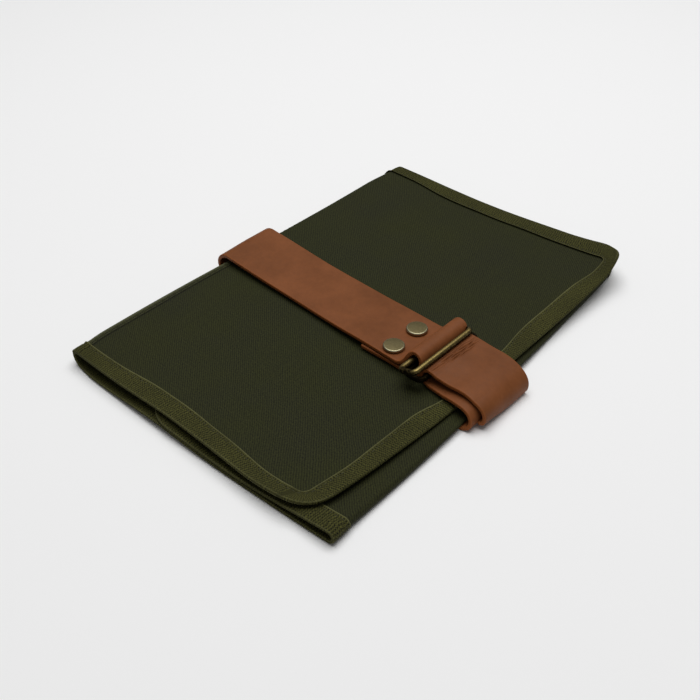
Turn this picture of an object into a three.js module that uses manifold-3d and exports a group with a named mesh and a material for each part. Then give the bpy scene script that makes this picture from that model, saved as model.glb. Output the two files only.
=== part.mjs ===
// Notebook roll: a canvas sheet folded in three, bound with tape all round and closed by a leather strap
// with two wire rings. It lies flat. X runs across the roll, Y along its folds and Z up, in millimetres.
import * as THREE from 'three';
import Module from 'manifold-3d';

// Canvas sheet and its bound edge
const ROLL_LENGTH = 271;
const CANVAS_THICKNESS = 1.0;
const TAPE_THICKNESS = 1.0;
const TAPE_WIDTH = 12;
const TAPE_GAP = 0.25;
const TAPE_NOSE = 0.7;
const CORNER_RADIUS = 19;

// The short ends bow outwards: they are shorter at the sides by this share, this far from the fullest place
const END_BOW = 0.02;
const END_BOW_X = 25;
const END_BOW_REACH = 110;

// Lengths of the sheet along its folded path, from the top flap's free edge to the inner flap's, and the
// number of flat pieces that each length is divided into
const TOP_FLAP = 175;
const LEFT_FOLD = 12;
const BOTTOM_PANEL = 180;
const RIGHT_FOLD = 7;
const INNER_FLAP = 123;
const SHEET_WIDTH = TOP_FLAP + LEFT_FOLD + BOTTOM_PANEL + RIGHT_FOLD + INNER_FLAP;
const FOLDED_PATH = [
  { length: TOP_FLAP, pieces: 11 },
  { length: LEFT_FOLD, pieces: 8 },
  { length: BOTTOM_PANEL, pieces: 10 },
  { length: RIGHT_FOLD, pieces: 8 },
  { length: INNER_FLAP, pieces: 8 },
];
const PIECES_ALONG = 14;
const PIECES_ROUND_CORNER = 5;

// Shape of the folded sheet at stations along Y. Columns ending in X are places across the roll and
// columns ending in Z are heights of the middle of the sheet.
const STATIONS = [
  { y: -135.5, leftX: -84.3, leftZ: 9.4, midZ: 9.6, rightZ: 11.2, curlZ: 11.4, edgeX: 91, edgeZ: 10.6,
    bottomZ: 1.75, foldX: 99.6, foldZ: 5.8, innerMidZ: 5.5 },
  { y: -123.5, leftX: -84.3, leftZ: 9.4, midZ: 9.5, rightZ: 9.6, curlZ: 9.7, edgeX: 91.4, edgeZ: 9.8,
    bottomZ: 1.75, foldX: 99.7, foldZ: 5.8, innerMidZ: 5.5 },
  { y: -112, leftX: -85.3, leftZ: 9.2, midZ: 8.8, rightZ: 8.6, curlZ: 8.8, edgeX: 91.8, edgeZ: 9.2,
    bottomZ: 1.4, foldX: 100.6, foldZ: 5.5, innerMidZ: 5.2 },
  { y: -85, leftX: -85.5, leftZ: 9.2, midZ: 8.6, rightZ: 7.6, curlZ: 7.8, edgeX: 93, edgeZ: 8.4,
    bottomZ: 1, foldX: 100.6, foldZ: 5.2, innerMidZ: 5 },
  { y: -42.5, leftX: -85.2, leftZ: 9.3, midZ: 9.3, rightZ: 6.9, curlZ: 7.1, edgeX: 94.2, edgeZ: 7.3,
    bottomZ: 3, foldX: 99.8, foldZ: 4.6, innerMidZ: 4.8 },
  { y: 15.5, leftX: -85, leftZ: 9.3, midZ: 9.3, rightZ: 6.9, curlZ: 7.1, edgeX: 94.2, edgeZ: 7.3,
    bottomZ: 3, foldX: 96.4, foldZ: 4.6, innerMidZ: 4.8 },
  { y: 65, leftX: -85.2, leftZ: 9.4, midZ: 8.6, rightZ: 8, curlZ: 8.2, edgeX: 94.4, edgeZ: 9,
    bottomZ: 1, foldX: 92.8, foldZ: 5.2, innerMidZ: 5 },
  { y: 105, leftX: -85, leftZ: 9.6, midZ: 8.4, rightZ: 9, curlZ: 10.6, edgeX: 94.4, edgeZ: 11.6,
    bottomZ: 1.2, foldX: 89.6, foldZ: 5.4, innerMidZ: 5.2 },
  { y: 123.5, leftX: -83.8, leftZ: 9.8, midZ: 9.5, rightZ: 10.2, curlZ: 13.4, edgeX: 93.6, edgeZ: 13.2,
    bottomZ: 1.75, foldX: 85.4, foldZ: 5.8, innerMidZ: 5.5 },
  { y: 135.5, leftX: -83.6, leftZ: 9.8, midZ: 9.6, rightZ: 11.2, curlZ: 15.6, edgeX: 92.4, edgeZ: 14,
    bottomZ: 1.75, foldX: 81, foldZ: 5.8, innerMidZ: 5.5 },
];

// Free edge of the inner flap
const INNER_EDGE_X = -25;
const INNER_EDGE_Z = 5.5;

// Where along the two flaps the heights of the table apply, as shares of the flap from its free edge
const TOP_FLAP_KNOTS = [0, 0.12, 0.25, 0.61, 1];
const INNER_FLAP_KNOTS = [0, 0.5, 1];

// Strap, rings and rivets
const STRAP_WIDTH = 38.5;
const STRAP_THICKNESS = 2.2;
const WIRE_DIAMETER = 3.2;
const WIRE_CLEARANCE = 0.3;
const RING_LENGTH = 50.6;
const RING_BAR_SPACING = 9.4;
const RING_CORNER_RADIUS = 2.4;
const RING_Y = -14.3;
const WIRE_SIDES = 12;
const RIVET_CAP_DIAMETER = 11.6;
const RIVET_CAP_HEIGHT = 1.8;
const RIVET_CAP_RIM = 0.7;
const RIVET_CAP_BEVEL = 1.6;
const RIVET_BACK_DIAMETER = 9;
const RIVET_BACK_HEIGHT = 0.8;
const RIVET_POST_DIAMETER = 4;
const RIVET_SIDES = 24;
const RIVET_CLEARANCE = 0.3;
const RIVET_X = 44.7;
const RIVET_SPACING = 19.3;
const RIVET_Y = -15;

// Heights of the middle of the strap on its several runs, and where the top run starts across the roll
const TURNED_END_Z = 10.4;
const TOP_RUN_Z = 12.9;
const TOP_RUN_START = 52.6;
const LEFT_BEND_Z = 12.6;
const UNDER_RUN_Z = STRAP_THICKNESS / 2;
const INNER_LAYER_Z = 10.4;

// The bars of the two rings, seen from the near end: x across and z up
const LOWER_HELD_BAR = { x: 61.1, z: 13.4 };
const LOWER_FREE_BAR = { x: 70.5, z: 13.4 };
const UPPER_HELD_BAR = { x: 60.9, z: 16.9 };
const UPPER_FREE_BAR = { x: 69.96, z: 19.4 };

// Smooth curve through knots that stays between neighbouring values
function throughKnots(positions, values, at) {
  const last = positions.length - 1;
  const inside = THREE.MathUtils.clamp(at, positions[0], positions[last]);
  let k = 0;
  while (k < last - 1 && inside > positions[k + 1]) k += 1;
  const rise = (i) => (values[i + 1] - values[i]) / (positions[i + 1] - positions[i]);
  const slope = (i) => {
    if (i === 0) return rise(0);
    if (i === last) return rise(last - 1);
    const before = rise(i - 1);
    const after = rise(i);
    return before * after <= 0 ? 0 : (2 * before * after) / (before + after);
  };
  const step = positions[k + 1] - positions[k];
  const t = (inside - positions[k]) / step;
  const rest = 1 - t;
  return values[k] * rest * rest * (1 + 2 * t) + step * slope(k) * t * rest * rest
    + values[k + 1] * t * t * (1 + 2 * rest) - step * slope(k + 1) * t * t * rest;
}

function stationAt(y) {
  const places = STATIONS.map((row) => row.y);
  const at = {};
  for (const column of Object.keys(STATIONS[0])) {
    at[column] = throughKnots(places, STATIONS.map((row) => row[column]), y);
  }
  return at;
}

function bowed(x, y, z) {
  return new THREE.Vector3(x, y * (1 - END_BOW * ((x - END_BOW_X) / END_BOW_REACH) ** 2), z);
}

// Middle of the sheet at a distance along its folded path and a place along Y
function sheetMiddle(distance, y) {
  const s = stationAt(y);
  const leftRadius = (s.leftZ - s.bottomZ) / 2;
  const rightRadius = (s.foldZ - s.bottomZ) / 2;
  const leftStart = s.leftX + leftRadius;
  const rightStart = s.foldX - rightRadius;
  let run = distance;
  if (run <= TOP_FLAP) {
    const share = run / TOP_FLAP;
    const x = THREE.MathUtils.lerp(s.edgeX, leftStart, share);
    const z = throughKnots(TOP_FLAP_KNOTS, [s.edgeZ, s.curlZ, s.rightZ, s.midZ, s.leftZ], share);
    return bowed(x, y, z);
  }
  run -= TOP_FLAP;
  if (run <= LEFT_FOLD) {
    const turn = (Math.PI * run) / LEFT_FOLD;
    const z = s.bottomZ + leftRadius * (1 + Math.cos(turn));
    return bowed(leftStart - leftRadius * Math.sin(turn), y, z);
  }
  run -= LEFT_FOLD;
  if (run <= BOTTOM_PANEL) {
    return bowed(THREE.MathUtils.lerp(leftStart, rightStart, run / BOTTOM_PANEL), y, s.bottomZ);
  }
  run -= BOTTOM_PANEL;
  if (run <= RIGHT_FOLD) {
    const turn = (Math.PI * run) / RIGHT_FOLD;
    const z = s.bottomZ + rightRadius * (1 - Math.cos(turn));
    return bowed(rightStart + rightRadius * Math.sin(turn), y, z);
  }
  const share = 1 - (run - RIGHT_FOLD) / INNER_FLAP;
  const x = THREE.MathUtils.lerp(INNER_EDGE_X, rightStart, share);
  const z = throughKnots(INNER_FLAP_KNOTS, [INNER_EDGE_Z, s.innerMidZ, s.foldZ], share);
  return bowed(x, y, z);
}

// A point off the middle of the sheet, on the side that faces out of the roll when height is positive
function sheetPoint(distance, y, height) {
  const reach = 0.05;
  const before = sheetMiddle(Math.max(distance - reach, 0), y);
  const after = sheetMiddle(Math.min(distance + reach, SHEET_WIDTH), y);
  const along = after.sub(before).normalize();
  const out = new THREE.Vector3(along.z, 0, -along.x);
  return sheetMiddle(distance, y).addScaledVector(out, height);
}

// A closed skin through like outlines, one after the other. An open run is capped across its two rows.
function loft(outlines, closed) {
  const count = outlines[0].length;
  const positions = outlines.flat().flatMap((point) => point.toArray());
  const faces = [];
  const quad = (a, b, c, d) => faces.push(a, b, c, a, c, d);
  const spans = closed ? outlines.length : outlines.length - 1;
  for (let i = 0; i < spans; i += 1) {
    const here = i * count;
    const next = ((i + 1) % outlines.length) * count;
    for (let j = 0; j < count; j += 1) {
      const k = (j + 1) % count;
      quad(here + j, here + k, next + k, next + j);
    }
  }
  if (!closed) {
    const end = (outlines.length - 1) * count;
    for (let j = 0; j < count / 2 - 1; j += 1) {
      const across = count - 1 - j;
      quad(j, across, across - 1, j + 1);
      quad(end + j, end + j + 1, end + across - 1, end + across);
    }
  }
  const geometry = new THREE.BufferGeometry();
  geometry.setAttribute('position', new THREE.Float32BufferAttribute(positions, 3));
  geometry.setIndex(faces);
  return facingOut(geometry);
}

function facingOut(geometry) {
  const place = geometry.getAttribute('position');
  const faces = Array.from(geometry.getIndex().array);
  const corner = (i) => new THREE.Vector3().fromBufferAttribute(place, faces[i]);
  let volume = 0;
  for (let i = 0; i < faces.length; i += 3) {
    volume += corner(i).dot(corner(i + 1).cross(corner(i + 2)));
  }
  if (volume < 0) geometry.setIndex(faces.reverse());
  return geometry;
}

// Stations along the folded path and along Y that the canvas and its binding share
function steps(from, to, count) {
  return Array.from({ length: count + 1 }, (_, i) => from + ((to - from) * i) / count);
}
const QUARTER = Math.PI / 2;
const CORNER_TURNS = steps(0, QUARTER, PIECES_ROUND_CORNER);
const PATH_STOPS = [CORNER_RADIUS];
let reached = 0;
for (const { length, pieces } of FOLDED_PATH) {
  const from = Math.max(reached, CORNER_RADIUS);
  reached += length;
  const to = Math.min(reached, SHEET_WIDTH - CORNER_RADIUS);
  PATH_STOPS.push(...steps(from, to, pieces).slice(1));
}
const HALF_LENGTH = ROLL_LENGTH / 2;
const Y_STOPS = steps(-HALF_LENGTH + CORNER_RADIUS, HALF_LENGTH - CORNER_RADIUS, PIECES_ALONG);

// Canvas: rows across the folded path, shortened where they meet the rounded corners
const EDGE_INSET = TAPE_THICKNESS + TAPE_GAP;
function canvasOutline(distance, halfLength) {
  const stops = [TAPE_WIDTH - HALF_LENGTH, ...Y_STOPS, HALF_LENGTH - TAPE_WIDTH];
  const shares = stops.map((y) => y / (HALF_LENGTH - EDGE_INSET));
  const columns = [-1, ...shares, 1].map((share) => share * halfLength);
  const outer = columns.map((y) => sheetPoint(distance, y, CANVAS_THICKNESS / 2));
  const inner = columns.map((y) => sheetPoint(distance, y, -CANVAS_THICKNESS / 2));
  return [...outer, ...inner.reverse()];
}
const cornerReach = CORNER_RADIUS - EDGE_INSET;
const cornerRows = CORNER_TURNS.slice(0, -1).map((turn) => ({
  inset: EDGE_INSET + cornerReach * (1 - Math.cos(turn)),
  halfLength: HALF_LENGTH - CORNER_RADIUS + cornerReach * Math.sin(turn),
}));
const canvasRows = [
  ...cornerRows.map((row) => canvasOutline(row.inset, row.halfLength)),
  ...PATH_STOPS.map((stop) => canvasOutline(stop, HALF_LENGTH - EDGE_INSET)),
  ...cornerRows.map((row) => canvasOutline(SHEET_WIDTH - row.inset, row.halfLength)).reverse(),
];

// Binding: a folded tape carried round the sheet's outline
const TAPE_OUTSIDE = CANVAS_THICKNESS / 2 + TAPE_GAP + TAPE_THICKNESS;
const TAPE_INSIDE = CANVAS_THICKNESS / 2 + TAPE_GAP;
const TAPE_SECTION = [
  { inset: TAPE_WIDTH, height: TAPE_OUTSIDE },
  { inset: TAPE_NOSE, height: TAPE_OUTSIDE },
  { inset: 0, height: TAPE_OUTSIDE - TAPE_NOSE },
  { inset: 0, height: TAPE_NOSE - TAPE_OUTSIDE },
  { inset: TAPE_NOSE, height: -TAPE_OUTSIDE },
  { inset: TAPE_WIDTH, height: -TAPE_OUTSIDE },
  { inset: TAPE_WIDTH, height: -TAPE_INSIDE },
  { inset: TAPE_THICKNESS, height: -TAPE_INSIDE },
  { inset: TAPE_THICKNESS, height: TAPE_INSIDE },
  { inset: TAPE_WIDTH, height: TAPE_INSIDE },
];
const tapeStop = (place) => TAPE_SECTION.map(({ inset, height }) => {
  const { distance, y } = place(inset);
  return sheetPoint(distance, y, height);
});
const nearRun = PATH_STOPS.map((stop) => tapeStop((inset) => ({ distance: stop, y: -HALF_LENGTH + inset })));
const farRun = PATH_STOPS.map((stop) => tapeStop((inset) => ({ distance: stop, y: HALF_LENGTH - inset })));
const flapRun = Y_STOPS.map((y) => tapeStop((inset) => ({ distance: inset, y })));
const innerRun = Y_STOPS.map((y) => tapeStop((inset) => ({ distance: SHEET_WIDTH - inset, y })));
function tapeCorner(atStart, side) {
  return CORNER_TURNS.slice(1, -1).map((turn) => tapeStop((inset) => {
    const reach = CORNER_RADIUS - inset;
    const fromEnd = CORNER_RADIUS - reach * Math.cos(turn);
    return {
      distance: atStart ? fromEnd : SHEET_WIDTH - fromEnd,
      y: side * (HALF_LENGTH - CORNER_RADIUS + reach * Math.sin(turn)),
    };
  }));
}
const tapeStops = [
  ...nearRun,
  ...tapeCorner(false, -1).reverse(),
  ...innerRun,
  ...tapeCorner(false, 1),
  ...farRun.reverse(),
  ...tapeCorner(true, 1).reverse(),
  ...flapRun.reverse(),
  ...tapeCorner(true, -1),
];

// Strap: its runs from the turned end to the tip of the tail. Each run is a curve across the roll, with
// the place of the strap's middle along Y at the start and at the end of the run.
const point = (x, z) => new THREE.Vector2(x, z);
const line = (from, to) => new THREE.LineCurve(from, to);
const bend = (...points) => new THREE.CubicBezierCurve(...points);
const HAIRPIN_RADIUS = WIRE_DIAMETER / 2 + WIRE_CLEARANCE + STRAP_THICKNESS / 2;
const LOOP = { x: 60.6, halfWidth: 4.2, halfHeight: 5.7 };
const LOOP_MIDDLE = TURNED_END_Z + LOOP.halfHeight;
const LOOP_TOP = LOOP_MIDDLE + LOOP.halfHeight;
const LEFT_BEND = { x: -82, reach: 7.1 };
const RIGHT_BEND = { x: 98.5, reach: 4.1 };
const LEFT_BEND_MIDDLE = (LEFT_BEND_Z + UNDER_RUN_Z) / 2;
const RIGHT_BEND_MIDDLE = (INNER_LAYER_Z + UNDER_RUN_Z) / 2;
const HAIRPIN_LOW = LOWER_FREE_BAR.z - HAIRPIN_RADIUS;
const HAIRPIN_HIGH = LOWER_FREE_BAR.z + HAIRPIN_RADIUS;
const STRAP_RUNS = [
  { name: 'turned end', fromY: -14.1, toY: -12.7, pieces: 2,
    curve: line(point(28.7, TURNED_END_Z), point(LOOP.x, TURNED_END_Z)) },
  { name: 'loop round the held bars', fromY: -12.7, toY: -11.9, pieces: 14,
    curve: new THREE.EllipseCurve(LOOP.x, LOOP_MIDDLE, LOOP.halfWidth, LOOP.halfHeight, -QUARTER, QUARTER) },
  { name: 'drop to the rivets', fromY: -11.9, toY: -13.3, pieces: 12,
    curve: bend(point(LOOP.x, LOOP_TOP), point(56.3, LOOP_TOP), point(58.2, TOP_RUN_Z),
      point(TOP_RUN_START, TOP_RUN_Z)) },
  { name: 'top run', fromY: -13.3, toY: -7.1, pieces: 4,
    curve: line(point(TOP_RUN_START, TOP_RUN_Z), point(LEFT_BEND.x, LEFT_BEND_Z)) },
  { name: 'left bend', fromY: -7.1, toY: -7.1, pieces: 16,
    curve: new THREE.EllipseCurve(LEFT_BEND.x, LEFT_BEND_MIDDLE, LEFT_BEND.reach,
      LEFT_BEND_Z - LEFT_BEND_MIDDLE, QUARTER, 3 * QUARTER) },
  { name: 'under run', fromY: -7.1, toY: -21, pieces: 4,
    curve: line(point(LEFT_BEND.x, UNDER_RUN_Z), point(RIGHT_BEND.x, UNDER_RUN_Z)) },
  { name: 'right bend', fromY: -21, toY: -16, pieces: 14,
    curve: new THREE.EllipseCurve(RIGHT_BEND.x, RIGHT_BEND_MIDDLE, RIGHT_BEND.reach,
      INNER_LAYER_Z - RIGHT_BEND_MIDDLE, -QUARTER, QUARTER) },
  { name: 'inner layer', fromY: -16, toY: -12.1, pieces: 3,
    curve: line(point(RIGHT_BEND.x, INNER_LAYER_Z), point(LOWER_FREE_BAR.x, HAIRPIN_LOW)) },
  { name: 'hairpin round the lower free bar', fromY: -12.1, toY: -12.1, pieces: 14,
    curve: new THREE.EllipseCurve(LOWER_FREE_BAR.x, LOWER_FREE_BAR.z, HAIRPIN_RADIUS, HAIRPIN_RADIUS,
      -QUARTER, QUARTER, true) },
  { name: 'tail over the roll', fromY: -12.1, toY: -12.1, pieces: 6,
    curve: bend(point(LOWER_FREE_BAR.x, HAIRPIN_HIGH), point(75.8, HAIRPIN_HIGH), point(82, 14.8),
      point(90, 14.6)) },
  { name: 'tail down the side', fromY: -12.1, toY: -14.1, pieces: 12,
    curve: bend(point(90, 14.6), point(100.5, 14.3), point(108.2, 10.4), point(108.2, 4.6)) },
  { name: 'tip of the tail', fromY: -14.1, toY: -14.5, pieces: 6,
    curve: bend(point(108.2, 4.6), point(108.2, 2.4), point(107, UNDER_RUN_Z), point(103.4, UNDER_RUN_Z)) },
];

function strapOutlines() {
  const outlines = [];
  STRAP_RUNS.forEach((run, index) => {
    for (let i = index === 0 ? 0 : 1; i <= run.pieces; i += 1) {
      const share = i / run.pieces;
      const place = run.curve.getPoint(share);
      const along = run.curve.getTangent(share);
      const y = THREE.MathUtils.lerp(run.fromY, run.toY, share);
      const corner = (side, height) => new THREE.Vector3(
        place.x - along.y * height, y + side, place.y + along.x * height);
      const half = STRAP_WIDTH / 2;
      const thick = STRAP_THICKNESS / 2;
      outlines.push([corner(-half, thick), corner(half, thick), corner(half, -thick), corner(-half, -thick)]);
    }
  });
  return outlines;
}

// Rivets: a cap above, a flat cap below and a post through both layers of the strap
const RIVET_PLACES = [
  { name: 'rivet_near', y: RIVET_Y - RIVET_SPACING / 2 },
  { name: 'rivet_far', y: RIVET_Y + RIVET_SPACING / 2 },
];
const CAP_BASE = TOP_RUN_Z + STRAP_THICKNESS / 2 + RIVET_CLEARANCE;
const BACK_TOP = TURNED_END_Z - STRAP_THICKNESS / 2 - RIVET_CLEARANCE;
function rivetGeometry() {
  const cap = RIVET_CAP_DIAMETER / 2;
  const back = RIVET_BACK_DIAMETER / 2;
  const post = RIVET_POST_DIAMETER / 2;
  const profile = [
    point(0, BACK_TOP - RIVET_BACK_HEIGHT),
    point(back, BACK_TOP - RIVET_BACK_HEIGHT),
    point(back, BACK_TOP),
    point(post, BACK_TOP),
    point(post, CAP_BASE),
    point(cap, CAP_BASE),
    point(cap, CAP_BASE + RIVET_CAP_RIM),
    point(cap - RIVET_CAP_BEVEL, CAP_BASE + RIVET_CAP_HEIGHT),
    point(0, CAP_BASE + RIVET_CAP_HEIGHT),
  ];
  return new THREE.LatheGeometry(profile, RIVET_SIDES).rotateX(QUARTER);
}

// Rings: round wire carried along a rectangle with rounded corners, between a held bar and a free bar
function ringGeometry(held, free) {
  const across = new THREE.Vector3(free.x - held.x, 0, free.z - held.z).normalize();
  const along = new THREE.Vector3(0, 1, 0);
  const middle = new THREE.Vector3((held.x + free.x) / 2, RING_Y, (held.z + free.z) / 2);
  const straightX = RING_BAR_SPACING / 2 - RING_CORNER_RADIUS;
  const straightY = (RING_LENGTH - WIRE_DIAMETER) / 2 - RING_CORNER_RADIUS;
  const corners = [[1, 1], [-1, 1], [-1, -1], [1, -1]];
  const upward = new THREE.Vector3().crossVectors(across, along);
  const outlines = [];
  corners.forEach(([sideX, sideY], index) => {
    for (const turn of steps(index * QUARTER, (index + 1) * QUARTER, PIECES_ROUND_CORNER)) {
      const out = across.clone().multiplyScalar(Math.cos(turn)).addScaledVector(along, Math.sin(turn));
      const centre = middle.clone()
        .addScaledVector(across, sideX * straightX)
        .addScaledVector(along, sideY * straightY)
        .addScaledVector(out, RING_CORNER_RADIUS);
      outlines.push(steps(0, 4 * QUARTER, WIRE_SIDES).slice(1).map((angle) => centre.clone()
        .addScaledVector(out, (WIRE_DIAMETER / 2) * Math.cos(angle))
        .addScaledVector(upward, (WIRE_DIAMETER / 2) * Math.sin(angle))));
    }
  });
  return loft(outlines, true);
}

const wasm = await Module();
wasm.setup();

function toSolid(geometry) {
  const mesh = new wasm.Mesh({
    numProp: 3,
    vertProperties: new Float32Array(geometry.getAttribute('position').array),
    triVerts: new Uint32Array(geometry.getIndex().array),
  });
  mesh.merge();
  return new wasm.Manifold(mesh);
}

function toGeometry(solid) {
  const mesh = solid.getMesh();
  const geometry = new THREE.BufferGeometry();
  geometry.setAttribute('position', new THREE.Float32BufferAttribute(mesh.vertProperties, 3));
  geometry.setIndex(Array.from(mesh.triVerts));
  return geometry;
}

// The strap is pierced for the rivet posts through its top run and its turned end
function strapGeometry() {
  let strap = toSolid(loft(strapOutlines(), false));
  for (const place of RIVET_PLACES) {
    const height = CAP_BASE - BACK_TOP;
    const radius = RIVET_POST_DIAMETER / 2 + RIVET_CLEARANCE;
    const drill = new THREE.CylinderGeometry(radius, radius, height, RIVET_SIDES).rotateX(QUARTER);
    drill.translate(RIVET_X, place.y, (CAP_BASE + BACK_TOP) / 2);
    strap = strap.subtract(toSolid(drill));
  }
  return toGeometry(strap);
}

const roll = new THREE.Group();
roll.name = 'notebook_roll';
function addPiece(name, geometry, finish) {
  const piece = new THREE.Mesh(geometry, new THREE.MeshStandardMaterial(finish));
  piece.name = name;
  roll.add(piece);
  return piece;
}

const BRASS = { color: 0x8a7444, metalness: 1, roughness: 0.38 };
const RIVET_METAL = { color: 0x8f8870, metalness: 1, roughness: 0.35 };
addPiece('canvas_panel', loft(canvasRows, false), { color: 0x2d3121, roughness: 0.85 });
addPiece('edge_binding', loft(tapeStops, true), { color: 0x45452a, roughness: 0.9 });
addPiece('strap', strapGeometry(), { color: 0x7a4c30, roughness: 0.5 });
addPiece('ring_lower', ringGeometry(LOWER_HELD_BAR, LOWER_FREE_BAR), BRASS);
addPiece('ring_upper', ringGeometry(UPPER_HELD_BAR, UPPER_FREE_BAR), BRASS);
for (const place of RIVET_PLACES) {
  addPiece(place.name, rivetGeometry().translate(RIVET_X, place.y, 0), RIVET_METAL);
}

// The part's origin is the middle of the roll's footprint, on the surface that it lies on
const extent = new THREE.Box3().setFromObject(roll);
const footprint = extent.getCenter(new THREE.Vector3()).setZ(extent.min.z);
roll.children.forEach((piece) => piece.geometry.translate(-footprint.x, -footprint.y, -footprint.z));

export default roll;
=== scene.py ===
# Notebook roll: a sheet of waxed canvas folded in three, bound with tape all round and closed by a leather
# strap that is doubled back through two wire rings. Sizes are in millimetres until a mesh is made of them.
import math

import bpy
import numpy as np
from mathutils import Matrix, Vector


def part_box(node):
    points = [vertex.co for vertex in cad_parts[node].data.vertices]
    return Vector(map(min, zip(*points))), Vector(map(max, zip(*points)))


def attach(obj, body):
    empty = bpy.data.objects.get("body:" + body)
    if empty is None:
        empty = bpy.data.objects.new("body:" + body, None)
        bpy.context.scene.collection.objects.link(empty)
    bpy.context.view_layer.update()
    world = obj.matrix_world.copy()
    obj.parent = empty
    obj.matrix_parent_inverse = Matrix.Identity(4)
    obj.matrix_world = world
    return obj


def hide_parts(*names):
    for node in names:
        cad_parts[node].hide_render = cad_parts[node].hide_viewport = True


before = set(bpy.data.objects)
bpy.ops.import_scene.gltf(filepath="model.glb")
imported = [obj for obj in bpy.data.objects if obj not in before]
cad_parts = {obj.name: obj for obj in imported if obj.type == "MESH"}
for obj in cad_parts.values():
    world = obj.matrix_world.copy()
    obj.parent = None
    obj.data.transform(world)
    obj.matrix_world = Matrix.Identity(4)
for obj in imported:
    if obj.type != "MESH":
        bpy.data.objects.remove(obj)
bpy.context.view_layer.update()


# Canvas panel
# One sheet of waxed cotton canvas, cut about 496 by 271 mm and folded like a letter. The bottom panel lies on
# the table, the inner flap turns in over it from the right, and the top flap closes over both from the left.
MM = 0.001
CANVAS_THICKNESS = 0.9
TOP_FLAP = 175.0
LEFT_FOLD = 12.0
BOTTOM_PANEL = 180.0
RIGHT_FOLD = 6.0
INNER_FLAP = 123.0
BOTTOM_START = TOP_FLAP + LEFT_FOLD
RIGHT_FOLD_START = BOTTOM_START + BOTTOM_PANEL
INNER_START = RIGHT_FOLD_START + RIGHT_FOLD
SHEET_WIDTH = INNER_START + INNER_FLAP
HALF_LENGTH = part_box("edge_binding")[1].y / MM
CORNER_RADIUS = 19.0

# The short ends bow outwards: they are shorter at the sides by this share, this far from the fullest place
END_BOW = 0.02
END_BOW_X = 15.5
END_BOW_REACH = 110.0

# The two short ends have a lie of their own, which starts and is full at these places along Y
NEAR_END = (-70.0, -125.0)
FAR_END = (90.0, 122.0)

# The panels lie a little askew. At the near end the folded-under ones show this far beyond the top flap, the
# bottom panel is lifted off the table at one place, and the left fold's lower half slants inwards. This comes
# in over some way past the left fold, and the lift ends some way before the right one.
BOTTOM_REACH = 2.0
BOTTOM_SETTLE = 15.0
BOTTOM_LIFT = 2.2
BOTTOM_LIFT_X = -26.0
BOTTOM_LIFT_WIDTH = 30.0
BOTTOM_LIFT_FADE = 20.0
LEFT_FOLD_SKEW = 3.0

# The top flap's near end is drawn in and bulges: places along X, widths, and how far it comes out
FLAP_WAVES = ((-20.0, 24.0, -0.9), (50.0, 28.0, 2.1))

# The top flap ripples softly between its edges: the height, the lengths of two crossing waves, and a shift
RIPPLE_HEIGHT = 0.22
RIPPLE_LEAN_X = 17.0
RIPPLE_LEAN_Y = 29.0
RIPPLE_LENGTH_Y = 21.0
RIPPLE_SHIFT = 1.3

# Where the top flap's edges curl up, the tape lies further out than it would flat, most of all at its inner
# edge, this far in. On the right edge: how much at the far corner, and places along Y, widths and amounts.
# On the ends, near (-1) or far (1): the places along X where it starts and is full, and how much.
TUCK_INSET = 12.0
FAR_CURL_TUCK = 4.2
EDGE_TUCKS = ((-97.0, 22.0, 1.5), (-33.0, 13.0, 3.6), (14.0, 16.0, 3.0))
END_TUCKS = ((-1, 10.0, 60.0, 2.0), (-1, -30.0, -80.0, 2.6), (1, -45.0, -72.0, 2.8))

# How the cloth lies, at stations along Y: places across the roll and heights of the middle of the cloth
STATION_COLUMNS = ("y", "left_x", "left_z", "mid_z", "right_z", "curl_z", "edge_x", "edge_z",
                   "bottom_z", "fold_x", "fold_z", "inner_z")
STATION_ROWS = (
    (-135.5, -94.0, 9.0, 9.4, 9.4, 10.8, 78.8, 12.8, 1.10, 92.8, 7.2, 3.4),
    (-123.5, -94.8, 8.8, 7.8, 5.6, 7.0, 79.1, 9.8, 1.10, 92.2, 6.2, 3.2),
    (-112.0, -96.1, 9.0, 7.6, 5.4, 6.7, 80.0, 9.2, 0.60, 91.9, 5.2, 2.8),
    (-85.0, -96.3, 9.2, 7.6, 5.7, 6.3, 81.7, 8.0, 0.50, 91.4, 4.5, 2.8),
    (-42.5, -95.3, 9.3, 9.2, 6.8, 6.1, 83.0, 6.2, 2.75, 90.2, 4.1, 4.2),
    (15.5, -94.5, 9.3, 9.2, 6.8, 6.2, 83.6, 6.9, 2.75, 86.4, 4.1, 4.2),
    (65.0, -95.1, 9.4, 7.7, 6.8, 7.2, 83.6, 8.2, 0.50, 82.5, 4.5, 3.0),
    (105.0, -95.0, 10.3, 7.4, 7.4, 9.2, 83.8, 12.2, 0.60, 79.6, 4.7, 3.0),
    (123.5, -93.0, 11.2, 7.9, 9.2, 12.4, 81.6, 18.2, 1.10, 77.6, 5.0, 3.4),
    (135.5, -91.8, 11.7, 8.8, 10.8, 15.4, 78.9, 21.9, 1.10, 73.0, 5.0, 3.4),
)
STATIONS = dict(zip(STATION_COLUMNS, np.array(STATION_ROWS).T))
INNER_EDGE_X = -34.5
INNER_EDGE_Z = 5.7
TOP_FLAP_KNOTS = (0.0, 0.07, 0.25, 0.61, 1.0)
INNER_FLAP_KNOTS = (0.0, 0.5, 1.0)

# A flat felled seam along the left fold: two thicknesses of cloth. On the near half its inner edge lies on
# top, with a line of painted shade along it. Between these places along Y, under the strap, it passes round
# the fold, so that the far half shows none of it from above.
SEAM_NEAR = TOP_FLAP - 2.65
SEAM_FAR = TOP_FLAP + 4.0
SEAM_TURN = (-25.0, 20.0)
SEAM_WIDTH = 6.0
SEAM_RISE = 0.4
SEAM_STEP = 0.5
SEAM_SHADE = 0.8
SEAM_SHADE_WIDTH = 0.3
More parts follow.
